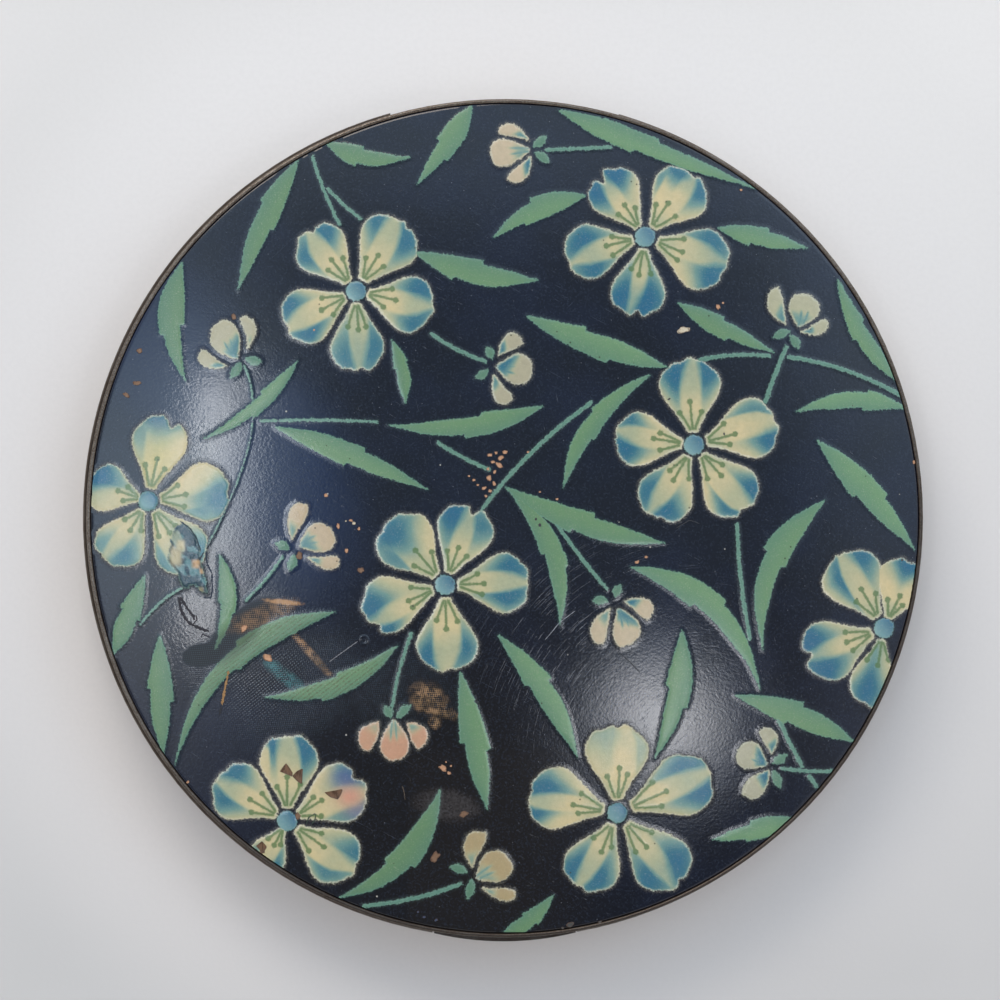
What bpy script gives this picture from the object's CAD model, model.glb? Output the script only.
import math

import bpy
import numpy as np
from mathutils import Matrix, Vector

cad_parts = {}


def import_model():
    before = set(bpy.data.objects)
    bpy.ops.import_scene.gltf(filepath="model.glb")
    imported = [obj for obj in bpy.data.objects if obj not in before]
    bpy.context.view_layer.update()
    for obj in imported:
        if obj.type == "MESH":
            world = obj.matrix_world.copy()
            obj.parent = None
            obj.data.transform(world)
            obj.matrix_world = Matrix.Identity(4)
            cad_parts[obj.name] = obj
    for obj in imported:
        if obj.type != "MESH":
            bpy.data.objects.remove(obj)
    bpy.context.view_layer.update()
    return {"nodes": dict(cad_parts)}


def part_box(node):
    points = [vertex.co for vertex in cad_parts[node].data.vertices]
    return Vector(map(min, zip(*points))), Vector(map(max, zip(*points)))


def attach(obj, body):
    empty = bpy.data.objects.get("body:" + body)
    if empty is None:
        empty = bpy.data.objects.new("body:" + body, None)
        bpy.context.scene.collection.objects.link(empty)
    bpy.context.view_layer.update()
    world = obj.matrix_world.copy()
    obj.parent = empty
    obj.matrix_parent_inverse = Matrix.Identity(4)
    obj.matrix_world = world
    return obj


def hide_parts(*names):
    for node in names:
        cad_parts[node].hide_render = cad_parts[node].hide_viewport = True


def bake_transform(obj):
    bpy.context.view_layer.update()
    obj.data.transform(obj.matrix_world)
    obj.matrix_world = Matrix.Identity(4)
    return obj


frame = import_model()
nodes = frame["nodes"]
scene = bpy.context.scene
scene.view_settings.view_transform = "Standard"

# Sizes in millimetres, as the part's source has them
MM = 0.001
PANEL_R = 42.18
DOME_RISE = 3.1
LID_EDGE_Z = 12.0
DOME_R = (PANEL_R ** 2 + DOME_RISE ** 2) / (2 * DOME_RISE)
DOME_Z = LID_EDGE_Z + DOME_RISE - DOME_R
# The lacquer lies this far under the top of the panel's solid, so that the raised work stays within it
PANEL_DROP = 0.13
LACQUER_R = DOME_R - PANEL_DROP
# How far the painted relief stands up
PETAL_HIGH, LEAF_HIGH, STEM_HIGH, HEART_HIGH, TORN_HIGH = 0.036, 0.026, 0.018, 0.060, 0.055
# How far the wear stands up at its edge and in its middle
CHIP_HIGH, SHARD_HIGH, CRACK_HIGH = (0.066, 0.048), (0.096, 0.086), (0.044, 0.070)
# The half width of the paper floor, the distance of the mirrored windows, and the side of a photo in pixels
FLOOR_HALF, WINDOW_FAR, PHOTO = 1500.0, 1200.0, 1000
# The seam between the lid and the base, and the refraction of the clear film over the print
SEAM_Z = 9.05
FILM_IOR = 1.54
PUFF_R = 28.0
PUFF_LOW = 6.65
PUFF_HIGH = 8.0
BACK_R = 27.0
BACK_HIGH = 8.35
BACK_CROWN = 0.2
RIBBON_W = 8.0
RIBBON_HALF = 24.0
RIBBON_T = 0.15
RIBBON_RISE = 0.35

# The camera looks down on the lid from a little left. Photo pixels are 1000 x 1000, and one is PX mm wide at AIM.
PX = 0.10226
CAM_D = 500.0
CAM_LEFT = math.radians(3.5)
AIM = np.array((-0.485, 1.853, 8.55))
SENSOR = 36.0


def camera():
    back = np.array((-math.sin(CAM_LEFT), 0.0, math.cos(CAM_LEFT)))
    eye = AIM + back * CAM_D
    right = np.cross((0, 1, 0), back)
    up = np.cross(back, right)
    data = bpy.data.cameras.new("camera")
    data.sensor_width = SENSOR
    data.lens = SENSOR * CAM_D / (PHOTO * PX)
    data.clip_start, data.clip_end = 0.01, 10.0
    obj = bpy.data.objects.new("camera", data)
    scene.collection.objects.link(obj)
    obj.matrix_world = Matrix([(*row, place) for row, place in zip(np.stack([right, up, back], 1), eye * MM)]
                              + [(0, 0, 0, 1)])
    scene.camera = obj
    return eye, right, up, back


EYE, RIGHT, UP, BACK = camera()


def on_lid(p):
    """Photo pixels (n, 2) to places on the domed lid (n, 2), in mm."""
    p = np.atleast_2d(np.asarray(p, float))
    ray = -BACK * CAM_D + np.outer((p[:, 0] - PHOTO / 2) * PX, RIGHT) + np.outer((PHOTO / 2 - p[:, 1]) * PX, UP)
    o = EYE - np.array((0, 0, DOME_Z))
    a, b, c = (ray * ray).sum(1), 2 * (ray @ o), o @ o - LACQUER_R ** 2
    t = (-b - np.sqrt(b * b - 4 * a * c)) / (2 * a)
    return (EYE + ray * t[:, None])[:, :2]


def dome_z(x, y):
    """Height of the lacquer over (x, y), in mm."""
    return DOME_Z + np.sqrt(np.maximum(LACQUER_R ** 2 - x * x - y * y, 0.0))


# ---- colours -------------------------------------------------------------
def lin(*c):
    return tuple((v / 255 / 12.92 if v <= 10.3 else ((v / 255 + 0.055) / 1.055) ** 2.4) for v in c)


CREAM = lin(202, 188, 146)
PALE = lin(168, 172, 140)
TEAL = lin(110, 146, 138)
BLUE = lin(50, 108, 127)
DEEP = lin(31, 94, 128)
LEAF = lin(101, 137, 100)
LEAF_DIM = lin(87, 126, 104)
STEM = lin(88, 131, 115)


# ---- meshes --------------------------------------------------------------
def mesh_object(name, verts, faces, material, attrs=None, colours=None):
    """verts in mm. attrs and colours are per vertex."""
    me = bpy.data.meshes.new(name)
    v = np.asarray(verts, np.float64) * MM
    me.vertices.add(len(v))
    me.vertices.foreach_set("co", v.astype(np.float32).ravel())
    f = np.asarray(faces, np.int32)
    k = f.shape[1]
    me.loops.add(f.size)
    me.loops.foreach_set("vertex_index", f.ravel())
    me.polygons.add(len(f))
    me.polygons.foreach_set("loop_start", np.arange(0, f.size, k, dtype=np.int32))
    me.polygons.foreach_set("use_smooth", np.full(len(f), True))
    me.update(calc_edges=True)
    for key, val in (attrs or {}).items():
        a = me.attributes.new(key, "FLOAT", "POINT")
        a.data.foreach_set("value", np.asarray(val, np.float32))
    for key, val in (colours or {}).items():
        a = me.attributes.new(key, "FLOAT_COLOR", "POINT")
        rgba = np.ones((len(v), 4), np.float32)
        rgba[:, :3] = val
        a.data.foreach_set("color", rgba.ravel())
    me.validate()
    obj = bpy.data.objects.new(name, me)
    scene.collection.objects.link(obj)
    me.materials.append(material)
    return obj


def around(seg):
    """The angles of seg points round a circle."""
    return np.linspace(0, 2 * math.pi, seg, endpoint=False)


def ring_faces(rows, cols):
    i, j = np.arange(rows - 1)[:, None], np.arange(cols)[None]
    k = (j + 1) % cols
    return np.stack([i * cols + j, (i + 1) * cols + j, (i + 1) * cols + k, i * cols + k], -1).reshape(-1, 4)


def fan(centre, first, n):
    """Quads from a centre point to a ring of n points, an even number, that starts at the point first."""
    j = np.arange(0, n, 2)
    return np.stack([np.full(len(j), centre), first + j, first + (j + 1) % n, first + (j + 2) % n], -1)


def turned(name, r, z, material):
    """A closed turned piece: r and z are (rows, segments) from the middle of its underside round to the middle of
    its top, in mm."""
    rows, seg = r.shape
    a = around(seg)
    v = np.stack([r * np.cos(a), r * np.sin(a), z], -1).reshape(-1, 3)
    v = np.vstack([v, [[0, 0, z[0].mean()], [0, 0, z[-1].mean()]]])
    end = rows * seg
    f = [ring_faces(rows, seg)[:, ::-1], fan(end, 0, seg)[:, ::-1], fan(end + 1, end - seg, seg)]
    return mesh_object(name, v, np.vstack(f), material)


# ---- node trees ----------------------------------------------------------
class Tree:
    """A short hand for the shader nodes of a material or of the world."""

    def __init__(self, owner, output="OutputMaterial"):
        owner.use_nodes = True
        self.owner, self.t = owner, owner.node_tree
        self.t.nodes.clear()
        self.out = self.node(output)

    def put(self, sock, v):
        if isinstance(v, bpy.types.NodeSocket):
            self.t.links.new(v, sock)
        else:
            sock.default_value = v

    def node(self, kind, ins=None, **props):
        n = self.t.nodes.new("ShaderNode" + kind)
        for k, v in props.items():
            setattr(n, k, v)
        for k, v in (ins or {}).items():
            self.put(n.inputs[k], v)
        return n

    def math(self, op, a, b=0.0):
        return self.node("Math", {0: a, 1: b}, operation=op).outputs[0]

    def add(self, a, b, *more):
        out = self.math("ADD", a, b)
        return self.add(out, *more) if more else out

    def mul(self, a, b, *more):
        out = self.math("MULTIPLY", a, b)
        return self.mul(out, *more) if more else out

    def sub(self, a, b):
        return self.math("SUBTRACT", a, b)

    def most(self, a, *more):
        for b in more:
            a = self.math("MAXIMUM", a, b)
        return a

    def far(self, x, y):
        return self.math("SQRT", self.add(self.mul(x, x), self.mul(y, y)))

    def turned(self, x, y, angle):
        """The coordinates x and y turned by that angle, in radians."""
        c, s = math.cos(angle), math.sin(angle)
        return self.add(self.mul(x, c), self.mul(y, s)), self.sub(self.mul(y, c), self.mul(x, s))

    def step(self, v, lo, hi, a=0.0, b=1.0, kind="SMOOTHSTEP"):
        ins = dict(enumerate((v, lo, hi, a, b)))
        return self.node("MapRange", ins, interpolation_type=kind, clamp=True).outputs[0]

    def mix(self, f, a, b, kind="MIX"):
        ins = {i: v if isinstance(v, bpy.types.NodeSocket) else (*v[:3], 1.0) for i, v in ((6, a), (7, b))}
        return self.node("Mix", {0: f, **ins}, data_type="RGBA", blend_type=kind).outputs[2]

    def over(self, col, tone, mask, share=None):
        """A tone of 0 to 255 laid over a colour where the mask is 1."""
        return self.mix(mask if share is None else self.mul(mask, share), col, lin(*tone))

    def attr(self, name, output="Fac"):
        return self.node("Attribute", attribute_name=name).outputs[output]

    def pos(self):
        return self.node("TexCoord").outputs["Object"]

    def xyz(self, v):
        return self.node("SeparateXYZ", {0: v}).outputs

    def join(self, x, y, z):
        return self.node("CombineXYZ", {0: x, 1: y, 2: z}).outputs[0]

    def scaled(self, v, sx, sy, sz):
        return self.node("VectorMath", {0: v, 1: (sx, sy, sz)}, operation="MULTIPLY").outputs[0]

    def noise(self, v, size, detail=2.0, rough=0.5):
        """Noise whose features are about size mm across."""
        ins = {"Vector": v, "Scale": 1.0 / (size * MM), "Detail": detail, "Roughness": rough}
        return self.node("TexNoise", ins).outputs["Fac"]

    def cells(self, v, size):
        return self.node("TexVoronoi", {"Vector": v, "Scale": 1.0 / (size * MM)}).outputs

    def specks(self, v, size, pick, share, near, inner):
        """1 in the specks at the middle of some cells of that size. The channel pick chooses the cells between the
        two limits of share, and a speck ends between the distances near and inner."""
        cells = self.cells(v, size)
        some = self.step(self.node("SeparateColor", {0: cells["Color"]}).outputs[pick], *share)
        return self.mul(self.step(cells["Distance"], near, inner), some)

    def bump(self, height, mm, normal=None):
        """height 0 to 1 stands for mm of relief."""
        n = self.node("Bump", {"Distance": mm * MM, "Height": height})
        if normal is not None:
            self.put(n.inputs["Normal"], normal)
        return n.outputs["Normal"]

    def shader(self, **ins):
        names = {"color": "Base Color", "rough": "Roughness", "metal": "Metallic", "normal": "Normal", "ior": "IOR",
                 "coat": "Coat Weight", "coat_rough": "Coat Roughness", "sheen": "Sheen Weight",
                 "sheen_rough": "Sheen Roughness", "spec": "Specular IOR Level"}
        n = self.node("BsdfPrincipled", {names[k]: v for k, v in ins.items()})
        self.t.links.new(n.outputs[0], self.out.inputs["Surface"])
        return self.owner


def new_material(name):
    return Tree(bpy.data.materials.new(name))


def oval(t, p, px, a, b, tilt=0.0, soft=0.5, wobble=0.0):
    """1 inside an oval of the lid about a photo pixel. a and b are its half lengths in photo pixels, tilt turns it
    upwards on the right, in degrees, and soft and wobble are shares of its size."""
    cx, cy = on_lid([px])[0]
    x, y, _ = t.xyz(p)
    u, v = t.turned(t.sub(x, cx * MM), t.sub(y, cy * MM), math.radians(tilt))
    d = t.far(t.mul(u, 1 / (a * PX * MM)), t.mul(v, 1 / (b * PX * MM)))
    if wobble:
        d = t.add(d, t.mul(t.sub(t.noise(p, min(a, b) * PX * 0.8, 3.0, 0.6), 0.5), 2 * wobble))
    return t.step(d, 1 + soft, 1 - soft)


def ovals(t, p, *rows):
    """1 inside any of the ovals."""
    return t.most(*(oval(t, p, *row) for row in rows))


def scratches(t, p, angle, gap, reach, seed):
    """Fine straight scratches: long thin cells of noise, turned and stretched. Sizes in mm."""
    ins = {"Vector": p, "Rotation": (0, 0, angle), "Location": (seed, seed * 0.7, 0)}
    return t.noise(t.scaled(t.node("Mapping", ins).outputs[0], 1.0 / reach, 1.0 / gap, 1.0 / gap), 1.0, 2.0, 0.6)


def waves(t, v, pitch):
    """A sine of v with that pitch in mm."""
    return t.math("SINE", t.mul(v, 2 * math.pi / (pitch * MM)))


# The weave of the metal's pattern under the print: its turn in radians and its two pitches in mm
WEAVE_TURN, WEAVE_PITCH = 0.66, (0.30, 0.26)


def lacquer(t, p):
    """The dark lacquered ground: colour, roughness and normal."""
    x, y, _ = t.xyz(p)
    big, grain, blot = t.noise(p, 9.0, 3.0, 0.6), t.noise(p, 0.22, 2.0, 0.6), t.noise(p, 1.4, 3.0, 0.6)
    navy = t.mix(t.step(big, 0.35, 0.7), lin(13, 16, 27), lin(18, 24, 42))
    # the print is browner black towards the lower middle and bluer near the left
    navy = t.over(navy, (20, 19, 21), oval(t, p, (440, 800), 150, 170, 0, 0.6))
    blue = t.most(oval(t, p, (285, 490), 62, 105, 10, 0.55, 0.15), t.mul(oval(t, p, (165, 350), 60, 90, 30, 0.6), 0.7))
    navy = t.over(navy, (18, 35, 68), blue, 0.85)
    brown = t.mul(t.step(x, -0.0104, -0.0098), t.step(y, -0.0215, -0.0250), t.step(x, 0.012, 0.0))
    navy = t.over(navy, (26, 23, 22), brown, 0.7)
    navy = t.over(navy, (42, 50, 64), t.step(grain, 0.45, 0.75, 0.0, 0.5))
    # dust: tiny pale specks, a few larger
    for size, pick, lo, near, share, tone in (
        (0.62, 0, 0.80, 0.11, 0.5, (126, 130, 138)), (2.7, 1, 0.76, 0.045, 0.8, (190, 188, 180)),
    ):
        navy = t.over(navy, tone, t.specks(p, size, pick, (lo, lo + 0.05), near, near * 0.45), share)
    # fine scratches in three directions, and rubbing marks that run round in the lower right
    hair = t.most(*(t.step(scratches(t, p, *row), lo, lo + 0.06) for lo, row in (
        (0.70, (0.5, 0.10, 7.0, 0.11)), (0.72, (-0.75, 0.09, 9.0, 0.37)), (0.72, (1.35, 0.08, 5.0, 0.73)))))
    cx, cy = on_lid([(700, 760)])[0]
    dx, dy = t.sub(x, cx * MM), t.sub(y, cy * MM)
    spun = t.join(t.mul(t.far(dx, dy), 1 / 0.11), t.mul(t.math("ARCTAN2", dy, dx), 0.0045), 0.0)
    arcs = t.mul(t.step(t.noise(spun, 1.0, 2.0, 0.6), 0.60, 0.70), oval(t, p, (600, 640), 130, 110, 0, 0.5))
    hair = t.most(hair, t.mul(arcs, 0.8))
    navy = t.over(navy, (92, 100, 116), hair, 0.26)
    # where the print is rubbed thin the fine weave of the metal's pattern shows, first dark, then golden
    wx, wy = (waves(t, v, pitch) for v, pitch in zip(t.turned(x, y, WEAVE_TURN), WEAVE_PITCH))
    dot, rib = t.add(t.mul(wx, wy, 0.5), 0.5), t.add(t.mul(wy, 0.5), 0.5)
    cloth = ovals(t, p, ((300, 690), 80, 44, 30, 0.45, 0.3), ((395, 690), 62, 36, 0, 0.45, 0.3),
                  ((225, 660), 42, 24, 40, 0.5, 0.2))
    ribbed = t.mul(oval(t, p, (255, 680), 50, 40, 30, 0.5), 0.5)
    woven = t.add(t.mul(dot, t.sub(1.0, ribbed)), t.mul(rib, ribbed))
    worn = t.mul(t.step(woven, 0.52, 0.92), cloth, t.step(blot, 0.36, 0.62, 0.25, 1.0))
    navy = t.over(navy, (58, 78, 88), worn, 0.38)
    torn = t.step(t.add(t.mul(dot, 0.45), t.noise(p, 0.7, 3.0, 0.7)), 0.60, 0.85)
    teal = t.mul(oval(t, p, (285, 676), 26, 6, -40, 0.6, 0.25), torn)
    navy = t.over(navy, (66, 122, 126), teal, 0.75)
    rub = oval(t, p, (262, 616), 34, 10, 22, 0.35, 0.3)
    navy = t.over(navy, (36, 30, 28), rub, 0.7)
    # the film is gone from a pointed patch and from a band beside it, which mirror nothing
    bald = ovals(t, p, ((204, 655), 22, 11.5, 9, 0.10, 0.22), ((240, 628), 44, 14, 42, 0.25, 0.15))
    navy = t.mix(t.mul(bald, 0.75), navy, t.mix(t.step(dot, 0.5, 0.9), lin(16, 21, 28), lin(56, 72, 80)))
    edge = t.mul(oval(t, p, (283, 602), 17, 2.6, -6, 0.4, 0.5), t.step(blot, 0.36, 0.5))
    streak = oval(t, p, (312, 655), 27, 3.4, -48, 0.6, 0.3)
    bare = ovals(t, p, ((429, 700), 19, 13, -42, 0.5, 0.55), ((447, 713), 11, 5, -20, 0.5, 0.5),
                 ((435, 722), 6, 6, 0, 0.4, 0.4))
    gold = t.most(t.mul(rub, t.mul(torn, 0.42)), edge, t.mul(streak, torn), t.mul(bare, torn))
    brass = t.mix(t.step(blot, 0.4, 0.6), lin(110, 88, 60), lin(166, 132, 96))
    navy = t.mix(t.mul(gold, 0.8), navy, t.mix(t.step(y, -0.0125, -0.0145), lin(178, 136, 92), brass))
    rubbed = t.most(t.mul(cloth, 0.7), rub, bare, streak)
    # a dull smear at the lower middle
    smear = oval(t, p, (447, 805), 30, 15, -8, 0.35, 0.3)
    navy = t.over(navy, (84, 76, 72), smear, t.step(grain, 0.35, 0.7, 0.08, 0.36))
    normal = t.bump(t.mul(woven, rubbed), 0.006)
    normal = t.bump(t.noise(p, 1.5, 1.0), 0.003, normal)
    normal = t.bump(t.noise(p, 0.27, 2.0, 0.6), 0.0050, normal)
    normal = t.bump(hair, -0.0016, normal)
    dull = t.add(t.mul(rubbed, 0.08), t.mul(smear, 0.16), t.mul(bald, 0.42))
    return navy, t.add(t.step(big, 0.3, 0.7, 0.055, 0.085), dull), normal


def panel_material():
    t = new_material("lacquer_panel")
    col, rough, normal = lacquer(t, t.pos())
    return t.shader(color=col, rough=rough, normal=normal, ior=FILM_IOR)


def paint_material():
    """Raised paint under the same clear film. sd is the distance inside the shape's edge and stamen the distance
    inside a stamen, in photo pixels, so the ragged edge is decided here and not by the mesh."""
    t = new_material("painted_relief")
    p = t.pos()
    ground, rough, normal = lacquer(t, p)
    rimmed = t.attr("rimmed")
    n_a, n_b = t.sub(t.noise(p, 0.25, 1.0), 0.5), t.sub(t.noise(p, 0.12, 1.0), 0.5)
    ragged = t.add(t.attr("sd"), t.add(t.mul(n_a, 2.6), t.mul(n_b, 3.2)))
    inside = t.step(ragged, -0.6, 0.6)
    dust = t.noise(p, 0.085, 1.0)
    halo = t.mul(t.math("POWER", t.step(ragged, -4.5, 0.3, kind="LINEAR"), 2.2), t.step(dust, 0.40, 0.66))
    halo_share = t.mul(halo, t.step(rimmed, 0.0, 1.0, 0.34, 0.56, kind="LINEAR"))
    col = t.mix(halo_share, ground, t.mix(rimmed, lin(66, 104, 98), lin(178, 174, 158)))
    soft, fine = t.noise(p, 0.5, 3.0, 0.65), t.noise(p, 0.11, 1.0)
    paint = t.over(t.attr("paint", "Color"), (74, 98, 88), t.step(soft, 0.3, 0.75, 0.0, 0.13))
    paint = t.over(paint, (228, 222, 200), t.step(fine, 0.55, 0.8, 0.0, 0.16))
    rim = t.mul(t.step(ragged, 1.8, 0.2), rimmed)
    paint = t.over(paint, (210, 208, 188), rim, t.step(dust, 0.34, 0.62, 0.08, 0.85))
    edge = t.mul(t.step(ragged, 1.6, 0.2), t.sub(1.0, rimmed))
    paint = t.over(paint, (116, 162, 150), edge, 0.4)
    stamen = t.add(t.attr("stamen"), t.add(t.mul(n_b, 2.4), n_a))
    paint = t.over(paint, (82, 113, 68), t.step(stamen, -0.7, 0.7, 0.0, 0.84))
    # small dark losses in the paint
    paint = t.over(paint, (50, 52, 40), t.specks(p, 0.85, 2, (0.86, 0.9), 0.13, 0.07), 0.85)
    # slanting wear in the paint over the rubbed zone
    x, y, _ = t.xyz(p)
    lines = waves(t, t.turned(x, y, WEAVE_TURN)[1], 0.36)
    worn = ovals(t, p, ((262, 655), 70, 34, 38, 0.4), ((335, 682), 60, 22, 20, 0.4))
    weft = t.mul(t.step(lines, -0.4, 0.9), t.step(t.noise(p, 0.15, 2.0, 0.6), 0.40, 0.58))
    paint = t.over(paint, (84, 78, 54), t.mul(worn, weft), t.step(soft, 0.3, 0.7, 0.3, 0.75))
    paint = t.over(paint, (50, 64, 54), oval(t, p, (234, 640), 36, 14, 42, 0.3, 0.2), 0.5)
    normal = t.bump(t.noise(p, 0.19, 2.0, 0.6), 0.0068, normal)
    normal = t.bump(t.mul(dust, halo), 0.0040, normal)
    rough = t.add(rough, t.mul(inside, 0.03))
    return t.shader(color=t.mix(inside, col, paint), rough=rough, normal=normal, ior=FILM_IOR)


def bronze_material():
    """The rims and the case: aged bronze, browned in the hollows and rubbed bright on the crowns."""
    t = new_material("aged_bronze")
    p = t.pos()
    x, y, z = t.xyz(p)
    big, mid, fine = t.noise(p, 5.0, 4.0, 0.6), t.noise(p, 0.9, 4.0, 0.65), t.noise(p, 0.16, 2.0, 0.6)
    base = t.mix(t.step(big, 0.35, 0.68), lin(80, 68, 58), lin(106, 98, 90))
    base = t.over(base, (72, 56, 44), t.step(mid, 0.42, 0.7, 0.0, 0.7))
    base = t.over(base, (146, 140, 132), t.step(fine, 0.5, 0.78, 0.0, 0.45))
    # brown stain where the clear coat held and darker dirt in the seam between the lid and the base
    stain = t.step(t.noise(p, 2.4, 4.0, 0.7), 0.52, 0.66)
    base = t.over(base, (66, 50, 38), stain, 0.55)
    seam = t.step(t.math("ABSOLUTE", t.sub(z, SEAM_Z * MM)), 0.00035, 0.00005)
    base = t.over(base, (30, 24, 20), seam, 0.85)
    top = t.mul(t.step(z, 0.01178, 0.01196), t.step(fine, 0.42, 0.6, 0.05, 0.5))
    base = t.over(base, (140, 134, 126), top)
    low = t.mul(t.step(t.sub(y, t.mul(x, 0.5)), 0.012, -0.030), t.step(z, 0.0095, 0.0115))
    base = t.over(base, (44, 36, 32), low, 0.72)
    # turning lines run round the wall and the flat underside
    lines = t.noise(t.join(t.far(x, y), t.mul(t.math("ARCTAN2", y, x), 0.0006), z), 0.07, 2.0, 0.6)
    normal = t.bump(lines, 0.0018)
    normal = t.bump(t.noise(p, 0.3, 3.0, 0.7), 0.010, normal)
    normal = t.bump(fine, 0.004, normal)
    rough = t.step(t.add(t.mul(mid, 0.6), t.mul(stain, 0.4)), 0.2, 0.8, 0.3, 0.52)
    return t.shader(color=base, metal=0.85, rough=rough, normal=normal, coat=0.15, coat_rough=0.3)


def brass_material(name, warm, pale, spun=0.0035, bright=0.24):
    """Gilt brass of the inside: spun or brushed, with pale rubbed places, brown spots and a little dust of powder."""
    t = new_material(name)
    p = t.pos()
    x, y, z = t.xyz(p)
    big, fine = t.noise(p, 7.0, 4.0, 0.6), t.noise(p, 0.25, 3.0, 0.6)
    col = t.mix(t.step(big, 0.35, 0.7), lin(*warm), lin(*pale))
    spot = t.step(t.noise(p, 1.1, 4.0, 0.75), 0.62, 0.72)
    col = t.over(col, (122, 84, 46), spot, 0.5)
    col = t.over(col, (240, 226, 196), t.step(fine, 0.6, 0.8, 0.0, 0.3))
    ring = t.noise(t.join(t.far(x, y), t.mul(t.math("ARCTAN2", y, x), 0.0009), t.mul(z, 0.3)), 0.09, 2.0, 0.65)
    col = t.over(col, (150, 112, 60), t.step(ring, 0.4, 0.7, 0.0, 0.18))
    rough = t.add(t.step(big, 0.3, 0.7, bright, bright + 0.1), t.mul(spot, 0.25))
    return t.shader(color=col, metal=1.0, rough=rough, normal=t.bump(fine, 0.0015, t.bump(ring, spun)))


def steel_material():
    t = new_material("spring_steel")
    p = t.pos()
    drawn = t.noise(t.scaled(p, 0.12, 1.0, 1.0), 0.06, 2.0, 0.6)
    big = t.noise(p, 1.8, 4.0, 0.7)
    col = t.mix(t.step(big, 0.45, 0.72), lin(176, 176, 178), lin(128, 122, 116))
    col = t.over(col, (110, 84, 62), t.step(t.noise(p, 0.12, 2.0), 0.62, 0.75, 0.0, 0.5))
    normal = t.bump(big, 0.004, t.bump(drawn, 0.0016))
    return t.shader(color=col, metal=1.0, rough=t.step(drawn, 0.3, 0.7, 0.26, 0.40), normal=normal)


def screen_material():
    """The plated screen, pale with powder in places."""
    t = new_material("plated_screen")
    p = t.pos()
    big = t.noise(p, 5.0, 4.0, 0.6)
    powder = t.step(t.noise(p, 0.5, 4.0, 0.7), 0.5, 0.68)
    col = t.mix(t.step(big, 0.35, 0.7), lin(206, 198, 180), lin(184, 170, 146))
    col = t.over(col, (226, 196, 172), powder, 0.6)
    normal = t.bump(t.noise(p, 0.14, 2.0), 0.002, t.bump(big, 0.01))
    metal, rough = t.sub(0.9, t.mul(powder, 0.6)), t.add(0.28, t.mul(powder, 0.4))
    return t.shader(color=col, metal=metal, rough=rough, normal=normal)


def mirror_material():
    """Silvered glass: a few pin holes in the silver, a faint haze towards the edge, wiping marks."""
    t = new_material("mirror_glass")
    p = t.pos()
    x, y, _ = t.xyz(p)
    haze = t.mul(t.step(t.far(x, y), 0.029, 0.0352), t.step(t.noise(p, 2.0, 4.0, 0.7), 0.4, 0.7))
    wipe = t.step(scratches(t, p, 0.9, 0.25, 14.0, 0.2), 0.66, 0.78)
    col = t.mix(t.mul(haze, 0.35), lin(232, 236, 236), lin(168, 160, 146))
    col = t.over(col, (60, 56, 50), t.specks(p, 2.1, 0, (0.8, 0.84), 0.05, 0.03))
    rough = t.add(0.02, t.add(t.mul(haze, 0.12), t.mul(wipe, 0.05)))
    return t.shader(color=col, metal=1.0, rough=rough, normal=t.bump(t.noise(p, 9.0, 1.0), 0.001))


def card_material():
    t = new_material("grey_card")
    p = t.pos()
    fibre = t.noise(t.scaled(p, 0.25, 1.0, 1.0), 0.16, 3.0, 0.7)
    col = t.mix(t.step(fibre, 0.3, 0.7), lin(132, 112, 90), lin(168, 150, 124))
    col = t.over(col, (84, 70, 56), t.step(t.cells(p, 1.1)["Distance"], 0.12, 0.06), 0.6)
    return t.shader(color=col, rough=t.step(fibre, 0.3, 0.7, 0.85, 0.98), normal=t.bump(fibre, 0.03))


def velour_material():
    """Short cotton pile of the powder puff, pressed in places and pale with powder."""
    t = new_material("puff_velour")
    p = t.pos()
    pile, lay = t.noise(p, 0.22, 3.0, 0.75), t.noise(p, 3.0, 3.0, 0.6)
    col = t.mix(t.step(pile, 0.3, 0.72), lin(214, 168, 142), lin(240, 214, 192))
    col = t.over(col, (248, 232, 214), t.step(lay, 0.42, 0.68, 0.0, 0.45))
    normal = t.bump(pile, 0.10, t.bump(lay, 0.12))
    return t.shader(color=col, rough=t.step(pile, 0.3, 0.7, 0.9, 1.0), normal=normal, sheen=0.6, sheen_rough=0.4)


def satin_material(name, light, dark):
    """Woven satin: fine warp floats one way, with slubs and a soft shine."""
    t = new_material(name)
    p = t.pos()
    light = lin(*light)
    warp = t.noise(t.scaled(p, 0.06, 1.0, 1.0), 0.09, 2.0, 0.6)
    slub = t.noise(t.scaled(p, 0.1, 1.0, 1.0), 0.5, 3.0, 0.6)
    ins = {"Vector": p, "Scale": 1.0 / (0.16 * MM) / 6.28, "Distortion": 0.6, "Detail": 1.0}
    weft = t.node("TexWave", ins, wave_type="BANDS", bands_direction="X").outputs["Fac"]
    soil = t.noise(p, 4.0, 4.0, 0.6)
    col = t.mix(t.step(warp, 0.3, 0.72), lin(*dark), light)
    col = t.mix(t.step(slub, 0.58, 0.72, 0.0, 0.35), col, tuple(min(1.0, c * 1.25) for c in light))
    col = t.over(col, (196, 160, 128), t.step(soil, 0.5, 0.72, 0.0, 0.35))
    normal = t.bump(t.add(t.mul(warp, 0.7), t.mul(weft, 0.3)), 0.02, t.bump(soil, 0.08))
    return t.shader(color=col, rough=t.step(warp, 0.3, 0.7, 0.34, 0.5), normal=normal, sheen=0.35, sheen_rough=0.3)


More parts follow.
